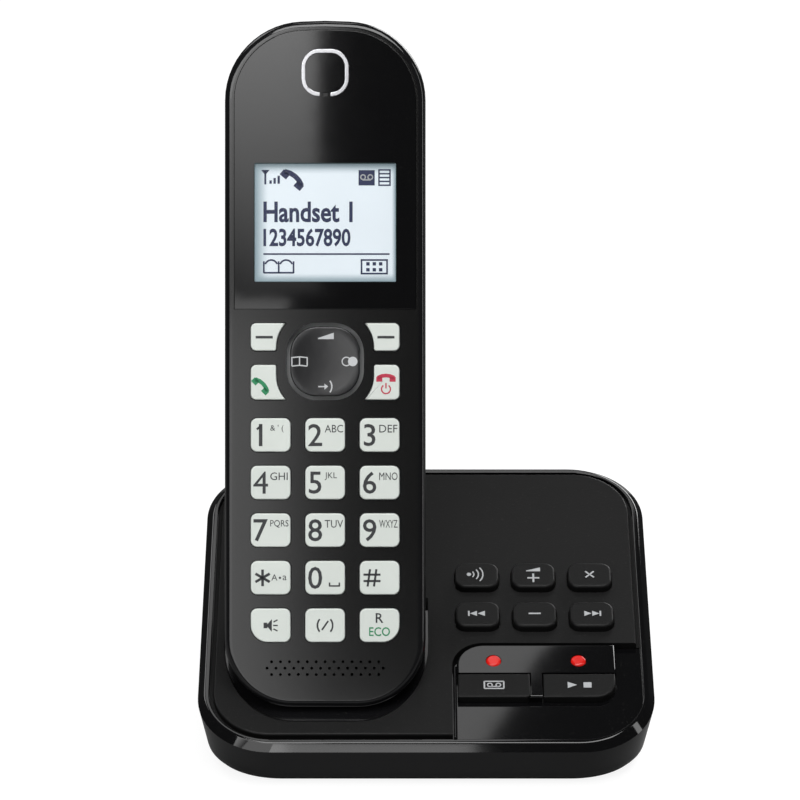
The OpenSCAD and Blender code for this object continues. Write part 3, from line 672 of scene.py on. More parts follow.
# %% [markdown]
# ## The front shell
# The face is a flat plate with a soft bevel all round, which catches the light as a fine line.
# A solid block is bevelled first. Its back face is then inset and pushed in, which leaves a
# wall, and a boolean opens the windows for the keys and the holes of the microphone.

# %% Front shell
front = handset_block("front_shell", 0, -9, 0)
round_edges(front, level(0), 1.75, 4)
pick(front, "faces", lambda face: face.normal.z < -0.9)
bpy.ops.mesh.inset(thickness=1.6)
bpy.ops.mesh.extrude_region_move(TRANSFORM_OT_translate={"value": (0, 0, 6.3)})
done()
PANEL_LOW, LCD_Y, WINDOW_W, WINDOW_H = 93.6, 114.1, 33.5, 28.0
seat = handset_block("seat", 2.2, -1, 1)
cut(front, [sliced(seat, (0, PANEL_LOW, 0), (0, 1, 0), use_fill=True, clear_inner=True)])
openings = [pad_block("opening", c, r, -5, 2, KEY_GAP) for _, c, r in PAD]
openings += [around_block("opening", s, p, -5, 2, KEY_GAP) for _, s, p in AROUND]
openings += [nav_block("opening", -5, 2, NAV_GAP),
             block("opening", WINDOW_W + 0.2, WINDOW_H + 0.2, -5, 2, (0, LCD_Y))]
openings += [peg("hole", (i - 6 - (row % 2) / 2) * 2.1, 7.8 + row * 1.5, 0.35, -5, 2, 10)
             for row in range(3) for i in range(13 + row % 2)]
cut(front, openings)
face_centres = {f.index for f in front.data.polygons if f.center.z > -1.2 and f.normal.z > 0.99}
dressed(settled(front, ON_HANDSET, 30), "front_shell", "handset", SATIN_BLACK,
        ["handset_front_case"])
front.data.materials.append(GLOSS_CASE)
for f in front.data.polygons:
    f.material_index = 0 if f.index in face_centres else 1

# %% [markdown]
# ## The gloss panel
# The upper face is a polished plate, let in flush, with the display's window and the ring's
# groove cut through. Its rim is barely rounded, so a hairline shows where it meets the shell.

# %% Gloss panel
panel = handset_block("gloss_panel", 2.3, -0.98, 0.03)
sliced(panel, (0, PANEL_LOW + 0.1, 0), (0, 1, 0), use_fill=True, clear_inner=True)
round_edges(panel, level(0.03), 0.14, 2)
RING_Y, RING_W, RING_LINE, RING_GAP = HANDSET_L - 12.4, 11.2, 1.0, 2.4
window = rounded_block("window", WINDOW_W, WINDOW_H, -3, 1, 0.5, (0, LCD_Y), 4)
sound_hole = block("sound_hole", RING_GAP / 2, RING_LINE, -3, 1,
                   (0, RING_Y - (RING_W - RING_LINE) / 2))
cut(panel, [window, sound_hole])
dressed(settled(panel, ON_HANDSET, 30), "gloss_panel", "handset", GLOSS_BLACK,
        ["display_panel"])


# %% [markdown]
# ## The ring round the earpiece
# A fine silver line runs round the earpiece and leaves a gap below, where the sound comes out.
# A rounded square frame is made from two blocks, its edges are softened, and the gap is cut.

# %% Earpiece ring
ring = rounded_block("ring", RING_W, RING_W, -0.3, 0.2, RING_W * 0.38, (0, RING_Y), 12)
ring_inner = rounded_block("inner", RING_W - 2 * RING_LINE, RING_W - 2 * RING_LINE, -1, 1,
                           RING_W * 0.38 - RING_LINE, (0, RING_Y), 12)
cut(ring, [ring_inner])
cut(ring, [block("gap", RING_GAP, 4, -1, 1, (0, RING_Y - RING_W / 2))])
round_edges(ring, level(0.2), 0.16, 3)
dressed(settled(ring, ON_HANDSET, 50), "earpiece_line", "handset", SILVER,
        ["earpiece_ring"])

# %% [markdown]
# ## White keys
# A number key is a small white block with soft edges. One is modelled and copied to the grid;
# only the two with a big corner are made on their own. Keys sink a little when pressed, so each
# copy rides on its own body.

# %% Number keys
def softened(piece, top, radius=0.3):
    """Rounds the edges of a key's top."""
    return round_edges(piece, level(top), radius, 3)


standard = softened(pad_block("standard_key", 0, 1, -1.7, PROUD), PROUD)
for key, column, row in PAD:
    if row == 0 and column:
        cap = softened(pad_block(key, column, row, -1.7, PROUD), PROUD)
    else:
        x, y = pad_place(column, row)
        cap = copied(key, standard.data, x, y - pad_place(0, 1)[1])
    dressed(settled(cap, ON_HANDSET), "cap_" + key, key, KEY_WHITE, [key])
bpy.data.objects.remove(standard)

# %% Keys round the navigator
for key, side, part in AROUND:
    cap = softened(around_block(key, side, part, -1.7, PROUD), PROUD)
    dressed(settled(cap, ON_HANDSET), "cap_" + key, key, KEY_WHITE, [key])

# %% [markdown]
# ## The navigator
# The round-cornered key in the middle rocks four ways. Its top is a shallow dish. Insets would
# give the dish four flat sides, so the bottom of a big sphere is bisected off and cut out of it.

# %% Navigator
DISH_R, DISH_DEPTH = 90, 0.35
navigator = nav_block("navigator", -1, PROUD)
round_edges(navigator, level(PROUD), 0.45, 4)
bpy.ops.object.select_all(action="DESELECT")
bpy.ops.mesh.primitive_uv_sphere_add(segments=48, ring_count=240, radius=DISH_R,
                                     location=(0, NAV_Y, PROUD + DISH_R - DISH_DEPTH))
dish = bpy.context.active_object
bpy.ops.object.transform_apply(location=True, rotation=True, scale=True)
cut(navigator, [sliced(dish, (0, 0, PROUD + 1), (0, 0, 1), use_fill=True, clear_outer=True)])
dressed(settled(navigator, ON_HANDSET, 60), "navigator_cap", "navigator_key", GLOSS_KEY,
        ["navigator_key"])

# %% [markdown]
# ## Ink marks
# Printed marks are thin solid films that lie on a surface and move with it. Bars, dots and hoops
# start as primitives, arcs are spun from a small plane, and words start as text that is made a
# mesh and scaled to its printed height. The marks of one key are joined into one piece.

# %% Mark helpers
FILM = 0.03


def inked(piece, material):
    piece.data.materials.clear()
    piece.data.materials.append(material)
    return piece


def turned_at(x, y, degrees):
    return Matrix.Translation((x, y, 0)) @ Matrix.Rotation(math.radians(degrees), 4, "Z")


def bar(x, y, width, height, z, material, turn=0.0):
    piece = block("bar", width, height, z, z + FILM)
    piece.data.transform(turned_at(x, y, turn))
    return inked(piece, material)


def wedge(x, y, width, height, z, material):
    """A bar that rises from its left end to its full height at the right."""
    piece = block("wedge", width, height, z, z + FILM, (x, y))
    pick(piece, "verts", lambda v: v.co.x < x and v.co.y > y)
    bpy.ops.transform.translate(value=(0, -height * 0.82, 0))
    done()
    return inked(piece, material)


def dot(x, y, radius, z, material, sides=20):
    return inked(peg("dot", x, y, radius, z, z + FILM, sides), material)


def arrow(x, y, width, height, z, material, turn=0.0):
    """A triangle that points right before it is turned."""
    piece = peg("arrow", 0, 0, 1, z, z + FILM, 3)
    piece.data.transform(Matrix.Rotation(-math.pi / 2, 4, "Z"))
    xs, ys = [v.co.x for v in piece.data.vertices], [v.co.y for v in piece.data.vertices]
    fit = Matrix.Diagonal((width / (max(xs) - min(xs)), height / (max(ys) - min(ys)), 1, 1))
    centre = Matrix.Translation((-(max(xs) + min(xs)) / 2, -(max(ys) + min(ys)) / 2, 0))
    piece.data.transform(turned_at(x, y, turn) @ fit @ centre)
    return inked(piece, material)


def sweep(x, y, radius, line, start, angle, z, material):
    """Part of a ring: a small upright plane is spun round the ring's middle."""
    bpy.ops.object.select_all(action="DESELECT")
    bpy.ops.mesh.primitive_plane_add(size=1)
    piece = bpy.context.active_object
    stand = Matrix.Translation((radius, 0, z + FILM / 2)) @ Matrix.Rotation(math.pi / 2, 4, "X")
    piece.data.transform(turned_at(x, y, start) @ stand @ Matrix.Diagonal((line, FILM, 1, 1)))
    pick(piece, "faces", lambda face: True)
    bpy.ops.mesh.spin(steps=max(4, int(abs(angle) / 15)), angle=-math.radians(angle),
                      center=(x, y, 0), axis=(0, 0, 1))
    bpy.ops.mesh.select_all(action="SELECT")
    if abs(angle) > 359:
        bpy.ops.mesh.remove_doubles(threshold=0.0005)
    bpy.ops.mesh.normals_make_consistent(inside=False)
    done()
    return inked(piece, material)


def words(text, x, y, height, z, material, width=None, align="MIDDLE", thicker=0.0):
    """Text of a printed height. It is squeezed if it would be wider than its room."""
    bpy.ops.object.select_all(action="DESELECT")
    bpy.ops.object.text_add()
    piece = bpy.context.active_object
    piece.data.body = text
    piece.data.size = 10
    piece.data.resolution_u = 3
    piece.data.offset = thicker
    piece.data.extrude = 0.1
    bpy.ops.object.convert(target="MESH")
    piece = bpy.context.active_object
    xs, ys, zs = ([v.co[axis] for v in piece.data.vertices] for axis in range(3))
    scale = height / (max(ys) - min(ys))
    across = scale if width is None else min(scale, width / (max(xs) - min(xs)))
    left = {"LEFT": min(xs), "RIGHT": max(xs), "MIDDLE": (min(xs) + max(xs)) / 2}[align]
    grow = Matrix.Diagonal((across, scale, FILM / (max(zs) - min(zs)), 1))
    piece.data.transform(Matrix.Translation((x, y, z)) @ grow
                         @ Matrix.Translation((-left, -(min(ys) + max(ys)) / 2, -min(zs))))
    pick(piece, "verts", lambda v: True)
    bpy.ops.mesh.remove_doubles(threshold=0.0005)
    bpy.ops.mesh.normals_make_consistent(inside=False)
    done()
    return inked(piece, material)


def printed(marks, name, place, body):
    """Joins the marks of one surface and puts them in place."""
    return dressed(settled(joined(marks, name), place, 0), name, body, None)


# %% [markdown]
# ## Legends of the number keys
# Each number stands at the left of its key with its letters at the upper right. The lowest row
# has pictures: a loudspeaker, the sign for an inner call, and a green word.

# %% Number legends
TOP = PROUD + 0.004
DARK, GREEN, RED = (TOP, DARK_INK), (TOP, GREEN_INK), (TOP, RED_INK)
LETTERS = {"key_1": "& ' (", "key_2": "ABC", "key_3": "DEF", "key_4": "GHI", "key_5": "JKL",
           "key_6": "MNO", "key_7": "PQRS", "key_8": "TUV", "key_9": "WXYZ"}


def digit(key, left, y):
    """A key's number. Thickening would close the 4, so it keeps its own line."""
    return words(key[-1], left + 1.45, y, 5.2, *DARK, 3.5, thicker=0 if key == "key_4" else 0.07)


for key, column, row in PAD:
    x, y = pad_place(column, row)
    left = x - KEY_W / 2 + 0.9
    if key in LETTERS:
        marks = [digit(key, left, y),
                 words(LETTERS[key], left + 3.7, y + 1.5, 1.8, *DARK, 4.3, "LEFT")]
        if key == "key_1":
            marks.append(bar(left + 1.05, y + 1.75, 1.3, 0.5, *DARK, 40))
    elif key == "key_0":
        marks = [digit(key, left, y), bar(x + 2.2, y - 1.9, 2.6, 0.35, *DARK)]
        marks += [bar(x + d, y - 1.55, 0.35, 0.9, *DARK) for d in (1.05, 3.35)]
    elif key == "key_star":
        marks = [bar(left + 1.9, y, 3.9, 0.62, *DARK, turn) for turn in (90, 30, -30)]
        marks += [words("A", x + 0.9, y + 0.1, 1.45, *DARK), dot(x + 2.2, y, 0.28, *DARK),
                  words("a", x + 3.3, y, 1.1, *DARK)]
    elif key == "key_hash":
        marks = [bar(left + 2.0 + d, y, 0.5, 4.1, *DARK, -8) for d in (-0.75, 0.75)]
        marks += [bar(left + 2.0, y + d, 4.0, 0.5, *DARK) for d in (-0.75, 0.75)]
    elif key == "key_speaker":
        marks = [bar(x - 1.2, y, 0.9, 1.3, *DARK), arrow(x - 0.35, y, 1.3, 3.0, *DARK, 180)]
        marks += [bar(x + 1.15, y + d * 1.05, 1.1, 0.3, *DARK, 28 * d) for d in (-1, 0, 1)]
    elif key == "key_intercom":
        marks = [sweep(x + 0.5, y, 2.3, 0.4, 140, 80, *DARK),
                 sweep(x - 0.5, y, 2.3, 0.4, -40, 80, *DARK), bar(x, y, 0.4, 2.6, *DARK, -35)]
    else:
        marks = [words("R", x, y + 1.75, 2.3, *DARK, thicker=0.1),
                 words("ECO", x, y - 1.45, 2.1, *GREEN, 4.9, thicker=0.1)]
    printed(marks, "print_" + key, ON_HANDSET, key)

# %% Legends round the navigator
for key, side in (("soft_key_left", -1), ("soft_key_right", 1)):
    printed([bar(side * 14.3, NAV_Y + 5.7, 4.0, 0.6, *DARK)],
            "print_" + key, ON_HANDSET, key)


def receiver(x, y, size, turn, z, material):
    """A telephone receiver: a shallow arc with a foot below each end, turned as a whole."""
    marks = [sweep(0, -size, size * 1.12, size * 0.26, 60, 60, z, material)]
    for side in (-1, 1):
        foot = rounded_block("foot", size * 0.42, size * 0.34, z, z + FILM, size * 0.08,
                             (side * size * 0.46, -size * 0.14), 3)
        marks.append(inked(foot, material))
    for mark in marks:
        mark.data.transform(turned_at(x, y, turn))
    return marks


printed(receiver(-14.9, 75.9, 3.6, -45, *GREEN), "print_talk_key", ON_HANDSET, "talk_key")
power = [sweep(14.3, 74.9, 1.05, 0.32, 125, 290, *RED), bar(14.3, 75.7, 0.32, 1.3, *RED)]
printed(receiver(14.3, 77.7, 3.4, 0, *RED) + power, "print_off_key", ON_HANDSET, "off_key")

# %% [markdown]
# ## Signs on the navigator
# The four signs are white: a volume wedge, an open book, two rings and an arrow to a bow. The
# cap is dished, so each corner of a film is lowered by the depth of the dish where it stands.

# %% Navigator signs
WHITE = (PROUD + 0.02, WHITE_INK)
signs = [wedge(0.2, NAV_Y + 6.0, 3.7, 1.5, *WHITE)]
signs += [bar(x, NAV_Y, 0.28, 2.1, *WHITE) for x in (-6.0, -4.2, -7.8)]
signs += [bar(-6.0 + s * 0.9, NAV_Y + d, 1.8, 0.28, *WHITE, -s * 6)
          for s in (-1, 1) for d in (-1.0, 1.0)]
signs += [sweep(5.0, NAV_Y, 1.0, 0.26, 0, 360, *WHITE), dot(6.5, NAV_Y, 1.12, *WHITE)]
signs += [bar(-0.7, NAV_Y - 5.9, 1.8, 0.3, *WHITE), arrow(0.3, NAV_Y - 5.9, 0.9, 1.4, *WHITE),
          sweep(-0.6, NAV_Y - 5.9, 2.2, 0.32, -38, 76, *WHITE)]
signs = joined(signs, "signs")
for v in signs.data.vertices:
    out = (v.co.xy - Vector((0, NAV_Y))).length
    v.co.z -= max(0, DISH_DEPTH - out ** 2 / (2 * DISH_R))
printed([signs], "print_navigator", ON_HANDSET, "navigator_key")

# %% [markdown]
# ## The display
# The display is a pale pane under a clear window. It is shaded near its left, upper and lower
# edges, where the frame keeps the light out. A gradient along each edge, read from the pane's
# own coordinates, gives that shade. Its signs are navy films just above the pane.

# %% Display pane
EDGE_SHADES = (("X", 0.0, 0.11), ("Y", 1.0, 0.90), ("Y", 0.0, 0.08), ("X", 1.0, 0.965))


def display_glass():
    """A pale pane that darkens softly towards its edges."""
    material, tree, shader = finish("display_glass", Emission_Strength=0.30, Roughness=0.35)
    place = tree.nodes.new("ShaderNodeUVMap")
    place.uv_map = "pane"
    parts = fed(tree, "SeparateXYZ", Vector=place.outputs["UV"])
    light = 1.0
    for axis, edge, inside in EDGE_SHADES:
        light = math_node(tree, "MULTIPLY", ramped(tree, parts.outputs[axis], edge, inside), light)
    clouds = math_node(tree, "MULTIPLY", noise_on(tree, 9, place=place.outputs["UV"]), 0.05)
    light = math_node(tree, "ADD", light, clouds)
    colour = mixed(tree, light, (0.24, 0.33, 0.37, 1), (0.70, 0.77, 0.82, 1))
    for label in ("Base Color", "Emission Color"):
        feed(tree, colour, shader.inputs[label])
    return material


LCD_W, LCD_H = WINDOW_W - 0.2, WINDOW_H - 0.2
DISPLAY_GLASS = display_glass()
pane = block("pane", LCD_W, LCD_H, -2.6, -1.0, (0, LCD_Y))
round_edges(pane, level(-1.0), 0.1, 2)
uv = pane.data.uv_layers.new(name="pane")
for loop in pane.data.loops:
    spot = pane.data.vertices[loop.vertex_index].co
    uv.data[loop.index].uv = (spot.x / LCD_W + 0.5, (spot.y - LCD_Y) / LCD_H + 0.5)
for layer in [layer for layer in pane.data.uv_layers if layer.name != "pane"]:
    pane.data.uv_layers.remove(layer)
dressed(settled(pane, ON_HANDSET), "display_pane", "handset", DISPLAY_GLASS,
        ["lcd_module"])

# %% Display signs
LCD_TOP = -0.985
NAVY = (LCD_TOP, NAVY_INK)
left, top = -LCD_W / 2, LCD_Y + LCD_H / 2


def on_lcd(kind, x, y, *sizes, **more):
    """A mark measured from the display's upper left corner."""
    return kind(left + x, top - y, *sizes, *NAVY, **more)


lcd = [on_lcd(bar, 2.55, 3.2, 0.45, 3.4), on_lcd(arrow, 2.55, 2.1, 1.2, 2.0, turn=-90)]
lcd += [on_lcd(bar, 3.8 + i * 0.95, 4.35 - i * 0.275, 0.55, 0.8 + i * 0.55) for i in range(3)]
lcd += on_lcd(receiver, 9.2, 3.4, 4.6, -40)
lcd += [on_lcd(bar, 26.4, 3.35, 3.8, 3.6)]
lcd += [on_lcd(bar, 30.6, 3.3 - d, 2.9, 0.35) for d in (-1.8, -0.9, 0.0, 0.9, 1.8)]
lcd += [on_lcd(bar, 30.6 + d, 3.3, 0.35, 3.9) for d in (-1.3, 1.3)]
lcd += [words("Handset 1", left + 2.1, top - 11.4, 4.9, *NAVY, 21, "LEFT", 0.25)]
lcd += [words("1234567890", left + 2.1, top - 17.4, 4.3, *NAVY, 20.5, "LEFT", 0.25)]
lcd += [bar(0.3, top - 21.3, LCD_W - 3.6, 0.38, *NAVY)]
lcd += [on_lcd(bar, x, 24.4, 0.4, 2.8) for x in (2.2, 5.7, 9.2)]
for x in (3.95, 7.45):
    lcd += [on_lcd(sweep, x, 24.2, 1.5, 0.4, 20, 140), on_lcd(bar, x, 25.7, 3.5, 0.4)]
lcd += [on_lcd(bar, 28.2, 24.3 + d, 6.4, 0.4) for d in (-1.6, 1.6)]
lcd += [on_lcd(bar, 28.2 + d, 24.3, 0.4, 3.5) for d in (-3.0, 3.0)]
lcd += [on_lcd(bar, 28.2 + i * 1.5, 24.3 + d, 0.8, 0.8) for i in (-1, 0, 1) for d in (-0.7, 0.7)]
over = (LCD_TOP + FILM, PALE_INK)
tape = [sweep(left + 26.4 + d, top - 3.2, 0.55, 0.3, 0, 360, *over) for d in (-0.85, 0.85)]
tape += [bar(left + 26.4, top - 3.85, 1.9, 0.3, *over)]
printed(lcd + tape, "display_signs", ON_HANDSET, "handset")

# %% [markdown]
# ## The rear shell and the parts behind it
# The rear of the handset, its door, contacts and screws have their true shape in the CAD model.
# Those meshes are loose triangles, so a copy is merged and smoothed, which lets the light run
# evenly over rounds, and takes the finish. The same is done with the base's small parts.

# %% Smoothed copies
def smooth_copy(node, material, body):
    """A merged and smoothed copy of a CAD node, with a finish."""
    piece = copied("shown_" + node, frame["nodes"][node].data)
    pick(piece, "verts", lambda v: True)
    bpy.ops.mesh.remove_doubles(threshold=0.000004)
    done()
    return dressed(settled(piece, Matrix()), "shown_" + node, body, material, [node])


BODIES = frame["record"]["behaviour"]["bodies"]
BODY_OF = {node: body for body, names in BODIES.items() for node in names}
COPIES = [
    (MATTE_BLACK, "matte_black", ["handset_rear_case", "battery_door", "cradle_insert"]),
    (STEEL, "contact_steel", ["handset_charge_plates", "handset_screws", "base_screws"]),
    (SLEEVE, "battery_sleeve", ["batteries"]),
    (STEEL, "contact_steel", ["battery_springs"]),
    (BRASS, "contact_brass", ["charge_pin_left", "charge_pin_right"]),
    (JACK_BLACK, "jack_black", ["line_jack", "power_jack"]),
    (RUBBER_BLACK, "rubber_black", ["rubber_feet", "navigator_pivot"]),
    (SPEAKER, "speaker_metal", ["base_speaker", "earpiece_speaker", "ringer_speaker"]),
    (RUBBER_BLACK, "speaker_metal", ["microphone"])]
for material, slot, nodes in COPIES:
    for node in nodes:
        smooth_copy(node, material, BODY_OF[node])

# %% Finishes on the CAD nodes that stay
for material, nodes in ((WINDOW, ["display_lens"]),
                        (RUBBER_GREY, ["keypad_mat", "base_keypad_mat"]),
                        (BOARD, ["handset_circuit_board", "base_circuit_board"])):
    for node in nodes:
        inked(frame["nodes"][node], material)

# %% [markdown]
# ## The base's outline
# Seen square to its sloping top, the base is a rounded rectangle. The lower case hangs from that
# outline down to a smaller one on the table. A plane with rounded corners is extruded down,
# flattened and drawn in, so that each upright strip runs straight from the rim to the foot.

# %% Rim plate
RIM_R, TRIM_W, TOP_N, TRIM_H = 17.4, 2.7, 2.2, 1.7


def rim_block(name, inset, low, high):
    """The base's outline as a block, in the frame of its sloping top."""
    width, length = BASE_W - 2 * inset, BASE_L - 2 * inset
    return rounded_block(name, width, length, low, high, RIM_R - inset, (0, BASE_L / 2), 18)


# %% Lower case
lower = rim_block("lower_case", 0, -1, 0)
lower.data.transform(ON_TOP)
lower.data.transform(ON_TABLE.inverted())
pick(lower, "verts", lambda v: False)
sheet = bmesh.from_edit_mesh(lower.data)
normal = Vector((0, -math.sin(SLOPE), math.cos(SLOPE)))
rim_point = Vector((0, 0, RIM_Z))
foot_side = [v for v in sheet.verts if (v.co - rim_point).dot(normal) < -0.5]
DRAFT, FOOT_LEVEL = 2.3, 3.0
for v in foot_side:
    v.select_set(True)
sheet.select_flush_mode()
bmesh.update_edit_mesh(lower.data)
bpy.ops.transform.resize(value=(1, 1, 0), center_override=(0, 0, 0))
bpy.ops.transform.translate(value=(0, 0, FOOT_LEVEL))
ys = [v.co.y for v in foot_side]
xs = [v.co.x for v in foot_side]
centre = ((max(xs) + min(xs)) / 2, (max(ys) + min(ys)) / 2, 0)
narrow = ((BASE_W - 2 * DRAFT) / (max(xs) - min(xs)), (DEPTH - 2 * DRAFT) / (max(ys) - min(ys)), 1)
bpy.ops.transform.resize(value=narrow, center_override=centre)
sheet = bmesh.from_edit_mesh(lower.data)
now = [v.co.y for v in sheet.verts if v.select]
bpy.ops.transform.translate(value=(0, DEPTH / 2 - (max(now) + min(now)) / 2, 0))
bpy.ops.mesh.select_mode(type="FACE")
sheet = bmesh.from_edit_mesh(lower.data)
for f in sheet.faces:
    f.select_set(all(abs(v.co.z - FOOT_LEVEL) < 0.001 for v in f.verts))
bmesh.update_edit_mesh(lower.data)
bpy.ops.mesh.extrude_region_move(TRANSFORM_OT_translate={"value": (0, 0, -2.0)})
SOLE, FOOT_EDGE = 7.8, 2 * DRAFT
shrink = ((BASE_W - SOLE) / (BASE_W - FOOT_EDGE), (DEPTH - SOLE) / (DEPTH - FOOT_EDGE), 1)
bpy.ops.transform.resize(value=shrink, center_override=(0, DEPTH / 2, 0))
done()
round_edges(lower, level(FOOT_LEVEL), 1.2, 3)
SCREWS = [(-45.8, DEPTH - 24), (45.8, DEPTH - 24), (45.8, 27), (5.75, 8.6)]
holes = [peg("screw_hole", x, y, 2.3, 0, 6.5, 24) for x, y in SCREWS]
holes += [peg("foot_seat", s * 35.3, y, 3.65, 0, 2.1, 32)
          for s in (-1, 1) for y in (14, DEPTH - 12)]
holes += [block("slot", 1.2, 16, 0, 5, (26 + i * 3, DEPTH - 26)) for i in range(-3, 4)]
JACK_Y, JACK_Z = DEPTH - 3, 12
line_hole = block("line_hole", 11, 24, JACK_Z - 5, JACK_Z + 5, (-8, JACK_Y + 3))
power_hole = peg("power_hole", 0, 0, 4.7, -12, 12, 32)
laid = Matrix.Rotation(math.pi / 2, 4, "X")
power_hole.data.transform(Matrix.Translation((-28, JACK_Y + 3, JACK_Z)) @ laid)
cut(lower, holes + [line_hole, power_hole])
dressed(settled(lower, ON_TABLE, 30), "lower_shell", "base", GLOSS_CASE,
        ["base_lower_case"])

# %% [markdown]
# ## The trim ring
# A gloss ring frames the top. Its outer side is a steep facet that mirrors the room in front,
# and its upper edge is a narrow lip with a softened rim. It is the rim plate, whose top is drawn
# in, with the middle cut away.

# %% Trim ring
trim = rim_block("trim", 0, 0, TRIM_H)
pick(trim, "edges", level(TRIM_H))
FACET = 3.0
bpy.ops.transform.resize(value=((BASE_W - FACET) / BASE_W, (BASE_L - FACET) / BASE_L, 1),
                         center_override=(0, BASE_L / 2, 0))
done()
round_edges(trim, level(TRIM_H), 0.3, 3)
cut(trim, [rim_block("middle", TRIM_W, -3, 5)])
round_edges(trim, lambda e: level(TRIM_H)(e) and abs(e.calc_face_angle(0)) > 1.2, 0.22, 3)
dressed(settled(trim, ON_TOP, 32), "trim_ring", "base", GLOSS_BLACK, ["base_trim"])

# %% [markdown]
# ## The top plate
# The top is a matte plate inside the ring, with a groove all round. It has openings for the
# handset's pocket, for the gloss control corner and for the six small keys. The pocket's cutter
# is the handset's own outline, grown by its gap and stood in the leaning frame.

# %% Control corner outline
CONTROL_LEFT, CONTROL_TOP, CONTROL_R = 6.35, 33.1, 7.5
BLOCK_LEFT, BLOCK_RIGHT, BLOCK_TOP = 7.25, 45.05, 2.3


def plate_from(name, left, right, front, back, low, high):
    """A box between its four sides."""
    at = ((left + right) / 2, (front + back) / 2)
    return block(name, right - left, back - front, low, high, at)


SMALL_W, SMALL_H, SMALL_R = 10.6, 8.3, 2.6
SMALL_KEYS = [("page_key", 0, 1), ("volume_up_key", 1, 1), ("erase_key", 2, 1),
              ("rewind_key", 0, 0), ("volume_down_key", 1, 0), ("forward_key", 2, 0)]


def small_place(column, row):
    return 39.85 - (2 - column) * 13.7, 41.3 + row * 13.25


# %% Top plate
top = rim_block("top_plate", TRIM_W + 1.0, 0.2, TOP_N)
round_edges(top, level(TOP_N), 0.5, 3)
under = rim_block("under", TRIM_W + 0.08, -2.0, 0.6)
cut(top, [under], "UNION")
TO_TOP = ON_TOP.inverted() @ ON_HANDSET
pocket = handset_block("pocket", -0.7, -26.7, 30, 2.3)
pocket.data.transform(TO_TOP)
CONTROL_GAP = 0.15
corner_x, corner_y = CONTROL_LEFT - CONTROL_GAP, CONTROL_TOP + CONTROL_GAP
corner = plate_from("corner", corner_x, 90, -20, corner_y, -5, 6)
one_corner(corner, corner_x, corner_y, CONTROL_R)
shape = rim_block("corner_shape", TRIM_W + 0.02, -3, 8)
applied(corner, "BOOLEAN", operation="INTERSECT", solver="EXACT", object=shape)
bpy.data.objects.remove(shape)
cut(top, [pocket])
cut(top, [corner])
cut(top, [rounded_block("small_opening", SMALL_W + 0.4, SMALL_H + 0.4, -4, 6, SMALL_R + 0.2,
                        small_place(c, r)) for _, c, r in SMALL_KEYS])
dressed(settled(top, ON_TOP, 30), "top_plate", "base", MATTE_BLACK,
        ["base_upper_case"])

# %% [markdown]
# ## The control corner
# A gloss plate fills the corner at the front. A raised block carries the two lights and the two
# large keys, and a fine bead runs down its left edge. Each is a box. The plate and the block have
# one or two rounded corners, and the block and the bead have softened upper edges. Then the
# openings are cut.

# %% Control plate, block and bead
RIM_RIGHT, RIM_FRONT = BASE_W / 2 - TRIM_W - 0.05, TRIM_W + 0.05
plate = plate_from("control_plate", CONTROL_LEFT, RIM_RIGHT, RIM_FRONT, CONTROL_TOP, -0.95, 0.4)
one_corner(plate, RIM_RIGHT, RIM_FRONT, RIM_R - TRIM_W, 16)
one_corner(plate, CONTROL_LEFT, CONTROL_TOP, CONTROL_R)
raised = plate_from("raised", BLOCK_LEFT, BLOCK_RIGHT, 15.6, CONTROL_TOP - 0.4, -0.9, BLOCK_TOP)
one_corner(raised, BLOCK_RIGHT, 15.6, 5)
one_corner(raised, BLOCK_LEFT, CONTROL_TOP - 0.4, 6.6)
round_edges(raised, level(BLOCK_TOP), 0.55, 4)
bead = plate_from("bead", CONTROL_LEFT, CONTROL_LEFT + 0.9, RIM_FRONT, CONTROL_TOP - CONTROL_R,
                  -0.9, BLOCK_TOP)
round_edges(bead, level(BLOCK_TOP), 0.38, 4)
BIG_KEYS = [("answer_key", 7.45, 1.0), ("play_key", 27.65, 4.8)]
LIGHTS, LIGHT_Y, BLOCK_FRONT = [16.05, 36.25], 27.3, 15.6


def big_block(name, left, corner, low, high, grow=0.0):
    """A large key with one big corner at its lower right."""
    right, front = left + 17.2 + grow, BLOCK_FRONT - grow
    piece = plate_from(name, left - grow, right, front, 23.2 + grow, low, high)
    return one_corner(piece, right, front, corner + grow)


def control_holes():
    """Cutters for the large keys' openings and for the lights."""
    holes = [big_block("opening", left, r, -5, 6, KEY_GAP) for _, left, r in BIG_KEYS]
    return holes + [peg("light_hole", x, LIGHT_Y, 1.9, -5, 6, 32) for x in LIGHTS]


cut(raised, control_holes())
cut(plate, control_holes())
control = joined([plate, raised, bead], "control_corner")
dressed(settled(control, ON_TOP, 30), "control_corner", "base", GLOSS_BLACK,
        ["control_panel"])

# %% Large keys
for key, left, corner_r in BIG_KEYS:
    cap = big_block(key, left, corner_r, -1.9, BLOCK_TOP)
    softened(cap, BLOCK_TOP, 0.45)
    dressed(settled(cap, ON_TOP), "cap_" + key, key, MATTE_BLACK, [key])

# %% Indicator lights
lamps = []
for x in LIGHTS:
    lamp = peg("lamp", x, LIGHT_Y, 1.8, -2, BLOCK_TOP + 0.3, 32)
    lamps.append(round_edges(lamp, level(BLOCK_TOP + 0.3), 0.6, 4))
dressed(settled(joined(lamps, "lamps"), ON_TOP, 50), "indicator_lamps", "base", RED_LIGHT,
        ["indicator_lights"])

# %% [markdown]
# ## Small keys of the base
# Six dark keys stand well out of the top, with round corners and soft upper edges. One is
# modelled and copied. Their pale signs are films again.

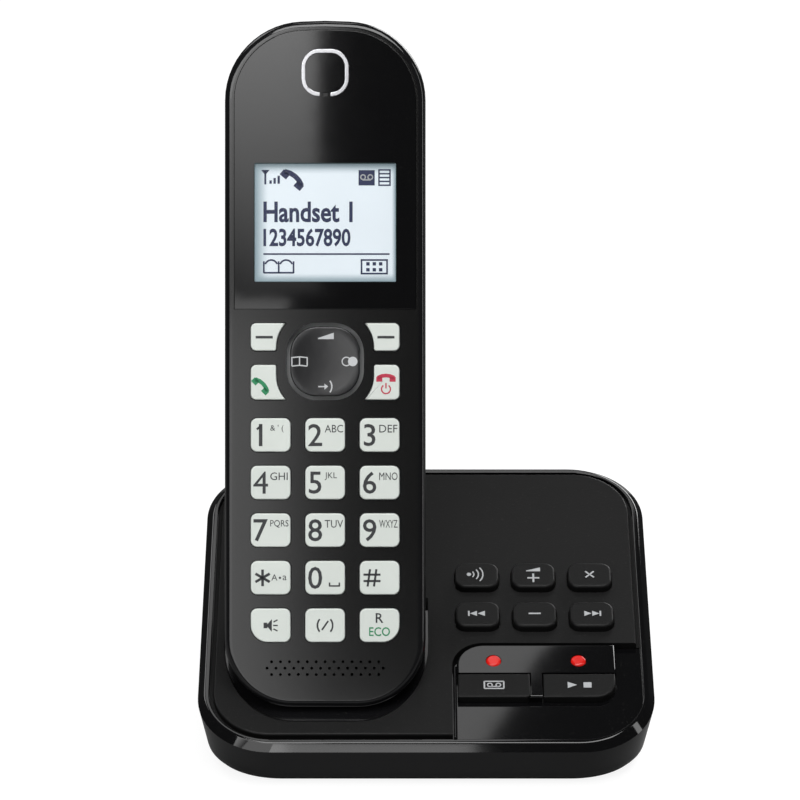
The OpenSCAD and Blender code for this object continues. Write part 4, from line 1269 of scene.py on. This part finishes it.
# %% Small keys
SMALL_TOP = TOP_N + 1.85
first = rounded_block("small_key", SMALL_W, SMALL_H, -0.7, SMALL_TOP, SMALL_R)
softened(first, SMALL_TOP, 0.7)
for key, column, row in SMALL_KEYS:
    cap = copied(key, first.data, *small_place(column, row))
    dressed(settled(cap, ON_TOP), "cap_" + key, key, MATTE_BLACK, [key])
bpy.data.objects.remove(first)

# %% Signs of the small keys
SMALL = (SMALL_TOP + 0.004, PALE_INK)
for key, column, row in SMALL_KEYS:
    x, y = small_place(column, row)
    if key == "page_key":
        marks = [dot(x - 1.9, y, 0.55, *SMALL)]
        marks += [sweep(x - 2.2, y, r, 0.32, -38, 76, *SMALL) for r in (1.5, 2.6, 3.7)]
    elif key == "volume_up_key":
        marks = [wedge(x, y + 1.7, 3.4, 1.3, *SMALL)]
        marks += [bar(x, y - 1.2, *size, *SMALL) for size in ((2.9, 0.45), (0.45, 2.9))]
    elif key == "erase_key":
        marks = [bar(x, y, 2.9, 0.4, *SMALL, turn) for turn in (45, -45)]
    elif key == "volume_down_key":
        marks = [bar(x, y, 2.9, 0.45, *SMALL)]
    else:
        way = -1 if key == "rewind_key" else 1
        marks = [bar(x + way * 2.1, y, 0.4, 1.7, *SMALL)]
        marks += [arrow(x + way * d, y, 1.7, 1.7, *SMALL, 90 - way * 90) for d in (-0.9, 1.0)]
    printed(marks, "print_" + key, ON_TOP, key)

# %% Signs of the large keys
BIG, y = (BLOCK_TOP + 0.004, PALE_INK), 19.4
x, play_x = LIGHTS
tape = [bar(x, y + d, 4.6, 0.35, *BIG) for d in (-1.15, 1.15)]
tape += [bar(x + d, y, 0.35, 2.3, *BIG) for d in (-2.3, 2.3)]
tape += [sweep(x + d, y, 0.55, 0.3, 0, 360, *BIG) for d in (-1.0, 1.0)]
printed(tape + [bar(x, y - 0.5, 2.0, 0.3, *BIG)], "print_answer_key", ON_TOP, "answer_key")
play = [arrow(play_x - 1.7, y, 2.2, 2.0, *BIG), bar(play_x + 1.9, y, 1.9, 1.7, *BIG)]
printed(play, "print_play_key", ON_TOP, "play_key")
